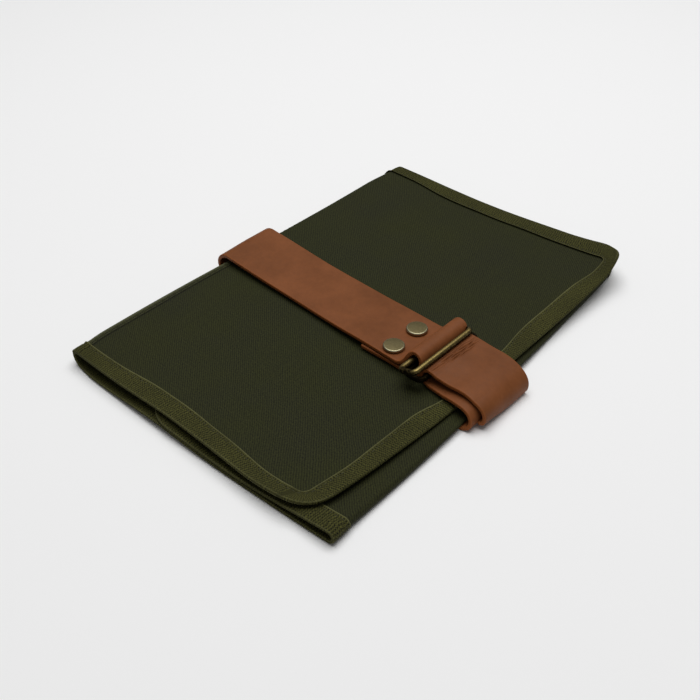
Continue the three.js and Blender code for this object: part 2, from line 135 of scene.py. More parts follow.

# The fold is rubbed pale, with a painted highlight, over its crown on the near half, and along its outer side
# on the far half
RUBBED_AND_LIT_NEAR = TOP_FLAP + 1.0
RUBBED_AND_LIT_FAR = TOP_FLAP + 2.8
RUBBED_AND_LIT_WIDTH = 0.8
RUBBED_AND_LIT_SHARE = 0.4


def through_knots(places, values, at):
    """Smooth curve through knots that stays between neighbouring values."""
    places = np.asarray(places, float)
    values = np.broadcast_to(values, at.shape + (len(places),))
    rise = np.diff(values, axis=-1) / np.diff(places)
    before, after = rise[..., :-1], rise[..., 1:]
    same_way = before * after > 0
    between = np.where(same_way, 2 * before * after / np.where(same_way, before + after, 1), 0)
    slope = np.concatenate([rise[..., :1], between, rise[..., -1:]], axis=-1)
    k = np.clip(np.searchsorted(places, at, side="right") - 1, 0, len(places) - 2)
    step = places[k + 1] - places[k]
    t = np.clip((at - places[k]) / step, 0, 1)
    rest = 1 - t

    def pick(table, index):
        return np.take_along_axis(table, index[..., None], axis=-1)[..., 0]

    return (pick(values, k) * rest ** 2 * (1 + 2 * t) + step * pick(slope, k) * t * rest ** 2
            + pick(values, k + 1) * t ** 2 * (1 + 2 * rest) - step * pick(slope, k + 1) * t ** 2 * rest)


def smooth_step(low, high, at):
    """0 at low and before it, 1 at high and after it, and a smooth rise between."""
    t = np.clip((at - low) / (high - low), 0, 1)
    return t * t * (3 - 2 * t)


def rise_and_fade(at):
    """Nothing at 0, full at 1, and fading after that."""
    return np.clip(at, 0, None) * np.exp(1 - np.clip(at, 0, None))


def cloth_middle(run, y):
    """Middle of the cloth, this far along the folded sheet from the top flap's edge, at a place along Y."""
    s = {name: through_knots(STATIONS["y"], column, y) for name, column in STATIONS.items()}
    left_radius = (s["left_z"] - s["bottom_z"]) / 2
    right_radius = (s["fold_z"] - s["bottom_z"]) / 2
    left_start = s["left_x"] + left_radius
    right_start = s["fold_x"] - right_radius

    share = np.clip(run / TOP_FLAP, 0, 1)
    near_end = smooth_step(*NEAR_END, y)
    far_end = smooth_step(*FAR_END, y)
    tuck = FAR_CURL_TUCK * far_end
    tuck = tuck + sum(amount * np.exp(-((y - place) / width) ** 2) for place, width, amount in EDGE_TUCKS)
    flap_x = s["edge_x"] + (left_start - s["edge_x"]) * share + tuck * rise_and_fade(run / TUCK_INSET)
    heights = np.stack([s["edge_z"], s["curl_z"], s["right_z"], s["mid_z"], s["left_z"]], axis=-1)
    ripple = RIPPLE_HEIGHT * np.sin(flap_x / RIPPLE_LEAN_X + y / RIPPLE_LEAN_Y)
    ripple = ripple * np.sin(y / RIPPLE_LENGTH_Y + RIPPLE_SHIFT) * np.sin(math.pi * share)
    flap_z = through_knots(TOP_FLAP_KNOTS, heights, share) + ripple

    left_turn = math.pi * (run - TOP_FLAP) / LEFT_FOLD
    bottom_share = (run - BOTTOM_START) / BOTTOM_PANEL
    right_turn = math.pi * (run - RIGHT_FOLD_START) / RIGHT_FOLD
    inner_share = np.clip(1 - (run - INNER_START) / INNER_FLAP, 0, 1)
    inner_heights = np.stack([np.full_like(y, INNER_EDGE_Z), s["inner_z"], s["fold_z"]], axis=-1)

    skew = LEFT_FOLD_SKEW * near_end
    bottom_left = left_start + skew
    stretch_ends = (TOP_FLAP, BOTTOM_START, RIGHT_FOLD_START, INNER_START, math.inf)
    stretch = [run <= end for end in stretch_ends]
    x = np.select(stretch, [
        flap_x,
        left_start - left_radius * np.sin(left_turn) + skew * (1 - np.cos(left_turn)) / 2,
        bottom_left + (right_start - bottom_left) * bottom_share,
        right_start + right_radius * np.sin(right_turn),
        INNER_EDGE_X + (right_start - INNER_EDGE_X) * inner_share,
    ])
    z = np.select(stretch, [
        flap_z,
        s["bottom_z"] + left_radius * (1 + np.cos(left_turn)),
        s["bottom_z"],
        s["bottom_z"] + right_radius * (1 - np.cos(right_turn)),
        through_knots(INNER_FLAP_KNOTS, inner_heights, inner_share),
    ])
    bow = 1 - END_BOW * ((x - END_BOW_X) / END_BOW_REACH) ** 2
    under = smooth_step(TOP_FLAP, BOTTOM_START + BOTTOM_SETTLE, run)
    on_bottom = under * (1 - smooth_step(RIGHT_FOLD_START - BOTTOM_LIFT_FADE, RIGHT_FOLD_START, run))
    z = z + BOTTOM_LIFT * on_bottom * near_end * np.exp(-((x - BOTTOM_LIFT_X) / BOTTOM_LIFT_WIDTH) ** 2)
    wave = sum(reach * np.exp(-((x - place) / width) ** 2) for place, width, reach in FLAP_WAVES)
    drawn = sum(end * amount * smooth_step(start, full, x)
                * rise_and_fade((HALF_LENGTH - end * y) / TUCK_INSET)
                for end, start, full, amount in END_TUCKS)
    reach = (BOTTOM_REACH * under + wave * (1 - under)) * near_end
    return np.stack([x, y * bow - reach + drawn * (1 - under), z], axis=-1)


def cloth_point(run, y, height):
    """A point off the middle of the cloth, on the side that faces out of the roll when height is positive."""
    run, y, height = np.broadcast_arrays(*(np.asarray(a, float) for a in (run, y, height)))
    reach = 0.05
    along = (cloth_middle(np.minimum(run + reach, SHEET_WIDTH), y)
             - cloth_middle(np.maximum(run - reach, 0), y))
    across = cloth_middle(run, y + reach) - cloth_middle(run, y - reach)
    out = np.cross(across, along)
    out /= np.linalg.norm(out, axis=-1, keepdims=True)
    return cloth_middle(run, y) + out * height[..., None]


def along_fold(near, far, y):
    """A value that changes under the strap, from the near half of the left fold to the far half."""
    return near + (far - near) * smooth_step(*SEAM_TURN, y)


def seam_height(run, y):
    """How far the seam stands out from the cloth's outer face."""
    off = run - along_fold(SEAM_NEAR, SEAM_FAR, y)
    return SEAM_RISE * (smooth_step(0, SEAM_STEP, off) - smooth_step(SEAM_WIDTH, SEAM_WIDTH + SEAM_STEP, off))


def loft_faces(rows, count, closed):
    """Faces of a skin through like outlines, one after the other. An open run is capped at its two ends."""
    i = np.arange(rows if closed else rows - 1)[:, None]
    j = np.arange(count)[None, :]
    here, following, side = i * count, (i + 1) % rows * count, (j + 1) % count
    faces = np.stack(np.broadcast_arrays(here + j, here + side, following + side, following + j), axis=-1)
    faces = faces.reshape(-1, 4)
    if not closed:
        j = np.arange(count // 2 - 1)
        cap = np.stack([j, count - 1 - j, count - 2 - j, j + 1], axis=-1)
        faces = np.concatenate([faces, cap, cap[:, ::-1] + (rows - 1) * count])
    return faces


def add_piece(name, points, faces, marks, material):
    """A smooth mesh piece of the roll. Marks are values kept at its points, which its material reads."""
    points = np.asarray(points, float).reshape(-1, 3)
    a, b, c, d = (points[faces[:, i]] for i in range(4))
    if np.einsum("ij,ij->i", np.cross(c - a, d - b), a + b + c + d).sum() < 0:
        faces = faces[:, ::-1]
    mesh = bpy.data.meshes.new(name)
    mesh.from_pydata((points * MM).tolist(), [], faces.tolist())
    for mark, values in marks.items():
        values = np.asarray(values, np.float32).reshape(len(points), -1)
        kind, field = ("FLOAT", "value") if values.shape[1] == 1 else ("FLOAT_VECTOR", "vector")
        mesh.attributes.new(mark, kind, "POINT").data.foreach_set(field, values.ravel())
    mesh.polygons.foreach_set("use_smooth", np.ones(len(mesh.polygons), bool))
    mesh.materials.append(material)
    piece = bpy.data.objects.new(name, mesh)
    bpy.context.scene.collection.objects.link(piece)
    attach(piece, "root")
    return piece


def linear(code):
    """An sRGB hex colour as linear red, green, blue and alpha."""
    parts = [int(code[i:i + 2], 16) / 255 for i in (1, 3, 5)]
    return [p / 12.92 if p <= 0.04045 else ((p + 0.055) / 1.055) ** 2.4 for p in parts] + [1.0]


def add_node(tree, kind, settings=None, inputs=None):
    """A shader node with its settings, and its inputs set to a value or linked to another node's output."""
    node = tree.nodes.new("ShaderNode" + kind)
    for name, value in (settings or {}).items():
        setattr(node, name, value)
    for name, value in (inputs or {}).items():
        if isinstance(value, bpy.types.NodeSocket):
            tree.links.new(value, node.inputs[name])
        else:
            node.inputs[name].default_value = value
    return node


def new_material(name):
    """A material with no nodes yet, and its node tree."""
    material = bpy.data.materials.new(name)
    material.use_nodes = True
    material.node_tree.nodes.clear()
    return material, material.node_tree


# Inputs and output of a Mix node that mixes colours
MIX_SHARE, MIX_A, MIX_B, MIX_RESULT = 0, 6, 7, 2
COLOUR_MIX = {"data_type": "RGBA", "clamp_factor": True}


def waxed_canvas():
    """Cotton canvas in a close twill, dyed dark olive and waxed: matt, with fine slanting wales, yarns of
    uneven shade, cloudy patches where the wax lies thinner, a line of painted shade at the seam's edge, and
    a fold rubbed pale that also carries a painted highlight."""
    # The wales are about 0.8 mm apart and are drawn 1.1 mm apart, so that the weave shows at this distance
    wale = 1.1
    yarn = 0.85
    drift_length = 7
    drift_reach = 1.4
    flecks_per_mm = 1.1
    cloud = 55
    warp, weft = linear("#363819"), linear("#070802")
    thin_wax, thick_wax = linear("#2f3116"), linear("#181908")
    rubbed_and_lit_olive, painted_seam_shade = linear("#707152"), linear("#0d0e06")
    material, tree = new_material("waxed_cotton_canvas")
    flat = add_node(tree, "Attribute", {"attribute_name": "flat"}).outputs["Vector"]
    drift = add_node(tree, "TexNoise", inputs={"Vector": flat, "Scale": 1 / drift_length, "Detail": 3})
    wander = add_node(tree, "VectorMath", {"operation": "MULTIPLY_ADD"},
                      {0: drift.outputs["Color"], 1: (drift_reach, drift_reach, 0), 2: flat})
    slope = add_node(tree, "VectorMath", {"operation": "DOT_PRODUCT"}, {0: wander.outputs[0], 1: (1, -1, 0)})
    wales = add_node(tree, "Math", {"operation": "MULTIPLY"},
                     {0: slope.outputs["Value"], 1: 2 * math.pi / (wale * math.sqrt(2))})
    wales = add_node(tree, "Math", {"operation": "SINE"}, {0: wales.outputs[0]})
    speckle = add_node(tree, "TexNoise", inputs={"Vector": flat, "Scale": flecks_per_mm, "Detail": 2})
    speckle = add_node(tree, "MapRange", inputs={"Value": speckle.outputs[0], "From Min": 0.25,
                                                 "From Max": 0.75, "To Min": -1.1, "To Max": 1.1})
    over = add_node(tree, "Math", {"operation": "MULTIPLY_ADD"},
                    {0: wales.outputs[0], 1: 0.75, 2: speckle.outputs[0]})
    over = add_node(tree, "MapRange", inputs={"Value": over.outputs[0], "From Min": -1.4, "From Max": 1.4})

    long_way = add_node(tree, "VectorMath", {"operation": "MULTIPLY"}, {0: flat, 1: (0.02, 1 / yarn, 1)})
    cross_way = add_node(tree, "VectorMath", {"operation": "MULTIPLY"}, {0: flat, 1: (1 / yarn, 0.02, 1)})
    streaks = [add_node(tree, "TexNoise", inputs={"Vector": way.outputs[0], "Scale": 1, "Detail": 1})
               for way in (long_way, cross_way)]
    slub = add_node(tree, "Math", {"operation": "ADD"}, {0: streaks[0].outputs[0], 1: streaks[1].outputs[0]})
    slub = add_node(tree, "MapRange", inputs={"Value": slub.outputs[0], "From Min": 0.6, "From Max": 1.4,
                                              "To Min": 0.88, "To Max": 1.1})

    clouds = add_node(tree, "TexNoise", inputs={"Vector": flat, "Scale": 1 / cloud, "Detail": 4,
                                                "Roughness": 0.6})
    cloud_share = add_node(tree, "MapRange", inputs={"Value": clouds.outputs[0], "From Min": 0.35,
                                                     "From Max": 0.65})
    weave = add_node(tree, "Mix", COLOUR_MIX, {MIX_SHARE: over.outputs[0], MIX_A: weft, MIX_B: warp})
    wax = add_node(tree, "Mix", COLOUR_MIX, {MIX_SHARE: cloud_share.outputs[0], MIX_A: thick_wax,
                                             MIX_B: thin_wax})
    cloth = add_node(tree, "Mix", COLOUR_MIX, {MIX_SHARE: 0.28, MIX_A: weave.outputs[MIX_RESULT],
                                               MIX_B: wax.outputs[MIX_RESULT]})
    # The fold's pale rub is wear with a painted highlight, and the seam's dark line is painted shade
    for mark, colour in (("rubbed_and_painted_light", rubbed_and_lit_olive), ("seam_painted_shade", painted_seam_shade)):
        marked = add_node(tree, "Attribute", {"attribute_name": mark}).outputs["Fac"]
        cloth = add_node(tree, "Mix", COLOUR_MIX, {MIX_SHARE: marked, MIX_A: cloth.outputs[MIX_RESULT],
                                                   MIX_B: colour})
    shade = add_node(tree, "VectorMath", {"operation": "SCALE"},
                     {0: cloth.outputs[MIX_RESULT], "Scale": slub.outputs[0]})
    rough = add_node(tree, "MapRange", inputs={"Value": clouds.outputs[0], "From Min": 0.3, "From Max": 0.7,
                                               "To Min": 0.72, "To Max": 0.88})
    bump = add_node(tree, "Bump", inputs={"Height": over.outputs[0], "Strength": 0.7, "Distance": 0.2 * MM})
    surface = add_node(tree, "BsdfPrincipled", inputs={
        "Base Color": shade.outputs[0], "Roughness": rough.outputs[0], "Normal": bump.outputs[0],
        "IOR": 1.47, "Specular IOR Level": 0.2, "Sheen Weight": 0.05, "Sheen Roughness": 0.5,
        "Sheen Tint": linear("#8a8c5c")})
    add_node(tree, "OutputMaterial", inputs={"Surface": surface.outputs[0]})
    return material


def spread(start, stop, spacing):
    """Even places from start to stop, about this far apart."""
    return np.linspace(start, stop, max(2, round(abs(stop - start) / spacing) + 1))


# The mesh has a row at each of these places along the sheet, close together round the folds and over the
# seam, and further apart where the cloth is flat
PATH_STOPS = np.unique(np.concatenate([
    spread(CORNER_RADIUS, SEAM_NEAR - 0.5, 3),
    spread(SEAM_NEAR - 0.4, SEAM_FAR + SEAM_STEP, 0.14),
    spread(SEAM_FAR + SEAM_STEP, BOTTOM_START, 0.25),
    spread(BOTTOM_START, RIGHT_FOLD_START, 4),
    spread(RIGHT_FOLD_START, INNER_START, 0.3),
    spread(INNER_START, SHEET_WIDTH - CORNER_RADIUS, 4),
]).round(4))

# Along Y the mesh has a column this often, and the outermost ones but one lie this far in, under the tape
COLUMN_SPACING = 2.5
END_COLUMN = 4.0
Y_STOPS = spread(CORNER_RADIUS - HALF_LENGTH, HALF_LENGTH - CORNER_RADIUS, COLUMN_SPACING)
CANVAS_INSET = 0.9

corner_turns = np.linspace(0, math.pi / 2, 12)
corner_reach = CORNER_RADIUS - CANVAS_INSET
corner_runs = CORNER_RADIUS - corner_reach * np.cos(corner_turns[:-1])
corner_halves = HALF_LENGTH - CORNER_RADIUS + corner_reach * np.sin(corner_turns[:-1])
row_runs = np.concatenate([corner_runs, PATH_STOPS, SHEET_WIDTH - corner_runs[::-1]])
full_half = HALF_LENGTH - CANVAS_INSET
row_halves = np.concatenate([corner_halves, np.full(len(PATH_STOPS), full_half), corner_halves[::-1]])
inner_columns = spread(END_COLUMN - full_half, full_half - END_COLUMN, COLUMN_SPACING)
columns = np.concatenate([[-full_half], inner_columns, [full_half]]) / full_half

canvas_run = np.broadcast_to(row_runs[:, None], (len(row_runs), len(columns)))
canvas_y = row_halves[:, None] * columns[None, :]
canvas_out = cloth_point(canvas_run, canvas_y, CANVAS_THICKNESS / 2 + seam_height(canvas_run, canvas_y))
canvas_in = cloth_point(canvas_run, canvas_y, -CANVAS_THICKNESS / 2)
canvas_points = np.concatenate([canvas_out, canvas_in[:, ::-1]], axis=1)
canvas_flat = np.stack([canvas_run, canvas_y, np.zeros_like(canvas_y)], axis=-1)
canvas_flat = np.concatenate([canvas_flat, canvas_flat[:, ::-1]], axis=1)
flat_run, flat_y = canvas_flat[..., 0], canvas_flat[..., 1]
# Painted shade: a dark line along the seam's inner edge
off_seam = (flat_run - along_fold(SEAM_NEAR, SEAM_FAR, flat_y)) / SEAM_SHADE_WIDTH
seam_painted_shade = SEAM_SHADE * np.exp(-off_seam ** 2)
# The fold's pale rub is wear and partly a painted highlight
off_rubbed_and_lit = (flat_run - along_fold(RUBBED_AND_LIT_NEAR, RUBBED_AND_LIT_FAR, flat_y)) / RUBBED_AND_LIT_WIDTH
rubbed_and_painted_light = RUBBED_AND_LIT_SHARE * np.exp(-off_rubbed_and_lit ** 2)
canvas = add_piece("canvas", canvas_points, loft_faces(*canvas_points.shape[:2], closed=False),
                   {"flat": canvas_flat, "seam_painted_shade": seam_painted_shade, "rubbed_and_painted_light": rubbed_and_painted_light},
                   waxed_canvas())
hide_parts("canvas_panel")


# Edge binding
# A cotton twill tape, 25 mm wide, folded over the cut edge of the canvas all the way round, so that 12 mm
# shows on each face. It is sewn through near its inner edges, which are woven selvedges, a little paler and
# with a painted highlight.
TAPE_SHOWS = 12.0
TAPE_THICKNESS = 0.42
TAPE_GAP = 0.03
TAPE_INSIDE = CANVAS_THICKNESS / 2 + TAPE_GAP
TAPE_OUTSIDE = TAPE_INSIDE + TAPE_THICKNESS
TAPE_STITCH_INSET = 10.2
TAPE_CORNER = 4.0

# The stitches draw the tape down in a narrow groove. It is a little full between them and the bound edge, and
# its outside and its inside turn round that edge with this reach.
SEWN_DIP = 0.13
SEWN_DIP_WIDTH = 0.55
TAPE_FULLNESS = 0.12
TAPE_NOSE = 0.95
TAPE_NOSE_INSIDE = 0.6

# The inner edge lifts where it shows, from this far beyond the stitches. It lifts more at the far end, which
# starts and is full at these places along Y. It wavers along its length: size, length and shift of each wave.
SELVEDGE_LIFT = 0.3
FAR_SELVEDGE_LIFT = 0.8
FAR_LIFT = (100.0, 121.0)
LIFT_MARGIN = 0.4
SELVEDGE_WAVES = ((0.16, 13.0, 0.0), (0.12, 5.3, 1.0))

# The paler selvedge, partly a painted highlight, is this wide, with painted shade at its very edge. The bound
# edge is rubbed pale at the short ends, with a painted highlight: by this share, where it starts and is full
# across the tape, and how far from the roll's ends.
SELVEDGE_WIDTH = 0.6
SELVEDGE_PAINTED_SHADE = 0.75
RUBBED_AND_LIT_EDGE = 0.45
RUBBED_AND_LIT_EDGE_INSETS = (0.9, 0.3)
RUBBED_AND_LIT_EDGE_ENDS = (22.0, 10.0)


def bound_line(inset):
    """The sheet's outline this far in from its edge: distances along the folded sheet, and places along Y."""
    reach = CORNER_RADIUS + (TAPE_CORNER - CORNER_RADIUS) * inset / TAPE_SHOWS
    low, high = inset + reach, SHEET_WIDTH - inset - reach
    side = HALF_LENGTH - inset - reach
    turns = corner_turns[1:-1]

    def corner(run, y, start):
        return run + reach * np.cos(start + turns), y + reach * np.sin(start + turns)

    quarter = math.pi / 2
    stretches = [
        (PATH_STOPS, np.full(len(PATH_STOPS), inset - HALF_LENGTH)),
        corner(high, -side, -quarter),
        (np.full(len(Y_STOPS), SHEET_WIDTH - inset), Y_STOPS),
        corner(high, side, 0),
        (PATH_STOPS[::-1], np.full(len(PATH_STOPS), HALF_LENGTH - inset)),
        corner(low, side, quarter),
        (np.full(len(Y_STOPS), inset), Y_STOPS[::-1]),
        corner(low, -side, 2 * quarter),
    ]
    return [np.concatenate(parts) for parts in zip(*stretches)]


def tape_section():
    """The folded tape seen end on: insets from the bound edge, heights off the middle of the cloth, and how
    far its inner edge lifts where it shows."""
    face = np.array([TAPE_SHOWS, 11.85, 11.5, 11, 10.6, TAPE_STITCH_INSET, 9.8, 9, 7.5, 5.5, 3.5, 1.8,
                     TAPE_NOSE])
    sewn_down = SEWN_DIP * np.exp(-((face - TAPE_STITCH_INSET) / SEWN_DIP_WIDTH) ** 2)
    fullness = TAPE_FULLNESS * np.sin(math.pi * np.clip(face / TAPE_STITCH_INSET, 0, 1))
    lift_start = TAPE_STITCH_INSET + LIFT_MARGIN
    lifted = SELVEDGE_LIFT * smooth_step(lift_start, TAPE_SHOWS, face)
    top = np.stack([face, TAPE_OUTSIDE - sewn_down + fullness, lifted], axis=-1)
    turn = np.linspace(math.pi / 2, -math.pi / 2, 9)[1:-1]
    nose_inset = TAPE_NOSE - TAPE_NOSE * np.cos(turn)
    nose = np.stack([nose_inset, TAPE_OUTSIDE * np.sin(turn), np.zeros_like(turn)], axis=-1)
    under = top[::-1] * (1, -1, 0)
    inner = [(TAPE_SHOWS, TAPE_INSIDE, SELVEDGE_LIFT), (lift_start, TAPE_INSIDE, 0),
             (TAPE_NOSE_INSIDE, TAPE_INSIDE, 0)]
    lining = np.concatenate([np.array(inner) * (1, -1, 0), inner[::-1]])
    return np.concatenate([top, nose, under, lining])


def cotton_twill_tape():
    """Cotton tape woven in a close slanting rib, dyed olive and unwaxed: duller and lighter than the canvas,
    with a fine paler thread along its selvedge that carries a painted highlight and painted shade at its very
    edge, and a painted highlight on its rubbed outer fold at the short ends."""
    # The ribs are about 0.8 mm apart and are drawn 1.4 mm apart, so that they show at this distance
    rib = 1.4
    drift_length = 4
    fibres_per_mm = 1.1
    faded_patch = 22
    hollow, crown, selvedge_and_painted_light = linear("#090902"), linear("#4b4a22"), linear("#646340")
    material, tree = new_material("cotton_twill_tape")
    place = add_node(tree, "Attribute", {"attribute_name": "tape"}).outputs["Vector"]
    drift = add_node(tree, "TexNoise", inputs={"Vector": place, "Scale": 1 / drift_length, "Detail": 2})
    wander = add_node(tree, "VectorMath", {"operation": "MULTIPLY_ADD"},
                      {0: drift.outputs["Color"], 1: (2.4, 1.8, 0), 2: place})
    turns = add_node(tree, "VectorMath", {"operation": "SCALE"},
                     {0: wander.outputs[0], "Scale": 2 * math.pi / rib})
    waves = add_node(tree, "VectorMath", {"operation": "SINE"}, {0: turns.outputs[0]})
    waves = add_node(tree, "SeparateXYZ", inputs={0: waves.outputs[0]})
    checker = add_node(tree, "Math", {"operation": "MULTIPLY"},
                       {0: waves.outputs["X"], 1: waves.outputs["Y"]})
    weave = add_node(tree, "Math", {"operation": "MULTIPLY_ADD"},
                     {0: waves.outputs["X"], 1: 0.8, 2: checker.outputs[0]})
    fibres = add_node(tree, "TexNoise", inputs={"Vector": place, "Scale": fibres_per_mm, "Detail": 3})
    weave = add_node(tree, "Math", {"operation": "MULTIPLY_ADD"},
                     {0: fibres.outputs[0], 1: 3.4, 2: weave.outputs[0]})
    weave = add_node(tree, "MapRange", inputs={"Value": weave.outputs[0], "From Min": 0.3, "From Max": 3.1})
    fade = add_node(tree, "TexNoise", inputs={"Vector": place, "Scale": 1 / faded_patch, "Detail": 3})
    lift = add_node(tree, "Math", {"operation": "ADD"}, {0: fibres.outputs[0], 1: fade.outputs[0]})
    lift = add_node(tree, "MapRange", inputs={"Value": lift.outputs[0], "From Min": 0.6, "From Max": 1.4,
                                              "To Min": 0.7, "To Max": 1.3})
    edge = add_node(tree, "Attribute", {"attribute_name": "selvedge_and_painted_light"}).outputs["Fac"]
    tape = add_node(tree, "Mix", COLOUR_MIX, {MIX_SHARE: weave.outputs[0], MIX_A: hollow, MIX_B: crown})
    # The selvedge mark: paler thread and a rubbed fold, with painted highlight and painted shade
    tape = add_node(tree, "Mix", COLOUR_MIX, {MIX_SHARE: edge, MIX_A: tape.outputs[MIX_RESULT],
                                              MIX_B: selvedge_and_painted_light})
    shade = add_node(tree, "VectorMath", {"operation": "SCALE"},
                     {0: tape.outputs[MIX_RESULT], "Scale": lift.outputs[0]})
    bump = add_node(tree, "Bump", inputs={"Height": weave.outputs[0], "Strength": 0.8, "Distance": 0.25 * MM})
    surface = add_node(tree, "BsdfPrincipled", inputs={
        "Base Color": shade.outputs[0], "Roughness": 0.92, "Normal": bump.outputs[0], "IOR": 1.47,
        "Specular IOR Level": 0.2, "Sheen Weight": 0.08, "Sheen Roughness": 0.6,
        "Sheen Tint": linear("#8a8a58")})
    add_node(tree, "OutputMaterial", inputs={"Surface": surface.outputs[0]})
    return material


def distance_along(line):
    """Distance of each point of a line from its first."""
    return np.concatenate([[0], np.cumsum(np.linalg.norm(np.diff(line, axis=0), axis=1))])


def waver(waves, at):
    """A small wandering made of sine waves: size, length and shift of each."""
    return sum(size * np.sin(at / length + shift) for size, length, shift in waves)


section = tape_section()
edge_run, edge_y = bound_line(0)
edge_line = cloth_point(edge_run, edge_y, 0)
edge_distance = distance_along(edge_line)
selvedge_wander = waver(SELVEDGE_WAVES, edge_distance)
inward = 0.5
tape_points = []
tape_places = []
for inset, height, lifted in section:
    run, y = bound_line(inset)
    inward_run, inward_y = bound_line(inset + inward)
    loose = selvedge_wander * smooth_step(TAPE_STITCH_INSET, TAPE_SHOWS, inset) / inward
    run = run + (inward_run - run) * loose
    y = y + (inward_y - y) * loose
    over_seam = seam_height(run, y) if height > 0 else 0
    shows = 1 - smooth_step(TOP_FLAP, BOTTOM_START, run)
    far_share = smooth_step(*FAR_LIFT, y)
    lift = lifted * (1 + (FAR_SELVEDGE_LIFT / SELVEDGE_LIFT - 1) * far_share) * shows
    tape_points.append(cloth_point(run, y, height + lift + over_seam))
    tape_places.append(np.stack([edge_distance, np.full_like(edge_distance, inset * np.sign(height)),
                                 np.zeros_like(edge_distance)], axis=-1))
tape_points = np.stack(tape_points, axis=1)
section_inset = section[:, 0]
on_face = np.abs(section[:, 1]) > TAPE_INSIDE + 0.1
selvedge_start = TAPE_SHOWS - SELVEDGE_WIDTH
# Paler selvedge thread with a painted highlight and painted shade at its very edge; at the short ends the
# outer fold is rubbed pale with a painted highlight
inner_edge_and_light = smooth_step(selvedge_start, TAPE_SHOWS - SELVEDGE_WIDTH / 2, section_inset) * on_face
very_edge_shade = smooth_step(TAPE_SHOWS - SELVEDGE_WIDTH / 4, TAPE_SHOWS, section_inset)
inner_edge_and_light = inner_edge_and_light * (1 - SELVEDGE_PAINTED_SHADE * very_edge_shade)
outer_fold_rubbed_and_lit = smooth_step(*RUBBED_AND_LIT_EDGE_INSETS, section_inset) * on_face
end_start, end_full = RUBBED_AND_LIT_EDGE_ENDS
on_end = smooth_step(HALF_LENGTH - end_start, HALF_LENGTH - end_full, np.abs(edge_y))
selvedge_and_light_mark = inner_edge_and_light[None, :] + RUBBED_AND_LIT_EDGE * outer_fold_rubbed_and_lit[None, :] * on_end[:, None]
binding = add_piece("binding", tape_points, loft_faces(*tape_points.shape[:2], closed=True),
                    {"tape": np.stack(tape_places, axis=1), "selvedge_and_painted_light": selvedge_and_light_mark},
                    cotton_twill_tape())
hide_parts("edge_binding")


# Stitching
# Lockstitch in a waxed olive thread: one row through both faces of the tape, near its inner edges, and two
# rows along the felled seam at the left fold. Each stitch is a short rounded length of thread, which rises in
# its middle, dips at its ends and is thinner there, by these shares of its radius.
STITCH_PITCH = 3.2
SEAM_STITCH_PITCH = 4.4
SEAM_STITCH_INSETS = (0.7, 2.1)
STITCH_SHARE = 0.76
STITCH_RISE = 0.9
STITCH_DIP = 0.6
STITCH_POINT = 0.35
THREAD_RADIUS = 0.26
STITCH_SECTIONS = 6
THREAD_SIDES = 6


def waxed_thread():
    """Twisted cotton sewing thread, a shade lighter than the tape, with a slight wax sheen."""
    twist_length = 0.9 * MM
    dark_ply, pale_ply = linear("#26260f"), linear("#47472a")
    material, tree = new_material("waxed_cotton_thread")
    place = add_node(tree, "TexCoord").outputs["Object"]
    twist = add_node(tree, "TexNoise", inputs={"Vector": place, "Scale": 1 / twist_length, "Detail": 1})
    shade = add_node(tree, "Mix", COLOUR_MIX, {MIX_SHARE: twist.outputs[0], MIX_A: dark_ply, MIX_B: pale_ply})
    surface = add_node(tree, "BsdfPrincipled", inputs={
        "Base Color": shade.outputs[MIX_RESULT], "Roughness": 0.7, "IOR": 1.47, "Specular IOR Level": 0.4})
    add_node(tree, "OutputMaterial", inputs={"Surface": surface.outputs[0]})
    return material


def stitch_row(run, y, height, pitch=STITCH_PITCH):
    """Stitches along a line on the cloth, at a height off its middle: points by stitch, section and side."""
    length = np.concatenate([[0], np.cumsum(np.hypot(np.diff(run), np.diff(y)))])
    count = int(length[-1] // pitch)
    starts = (np.arange(count) + 0.5) * length[-1] / count
    share = np.linspace(0, 1, STITCH_SECTIONS)
    at = starts[:, None] + (share[None, :] - 0.5) * STITCH_SHARE * pitch
    stitch_run = np.interp(at, length, run)
    stitch_y = np.interp(at, length, y)
    arch = np.sin(math.pi * share)
    sign = np.sign(height)
    bulge = THREAD_RADIUS * (STITCH_RISE * arch - STITCH_DIP)
    middle = cloth_point(stitch_run, stitch_y, height + sign * bulge)
    above = cloth_point(stitch_run, stitch_y, height + sign * (bulge + 0.1))
    up = above - middle
    up /= np.linalg.norm(up, axis=-1, keepdims=True)
    ahead = middle[:, -1:] - middle[:, :1]
    sideways = np.cross(up, np.broadcast_to(ahead, up.shape))
    sideways /= np.linalg.norm(sideways, axis=-1, keepdims=True)
    angle = np.arange(THREAD_SIDES) * 2 * math.pi / THREAD_SIDES
    radius = THREAD_RADIUS * (STITCH_POINT + (1 - STITCH_POINT) * arch ** 0.5)
    return (middle[:, :, None]
            + radius[None, :, None, None] * np.cos(angle)[None, None, :, None] * sideways[:, :, None]
            + radius[None, :, None, None] * np.sin(angle)[None, None, :, None] * up[:, :, None])


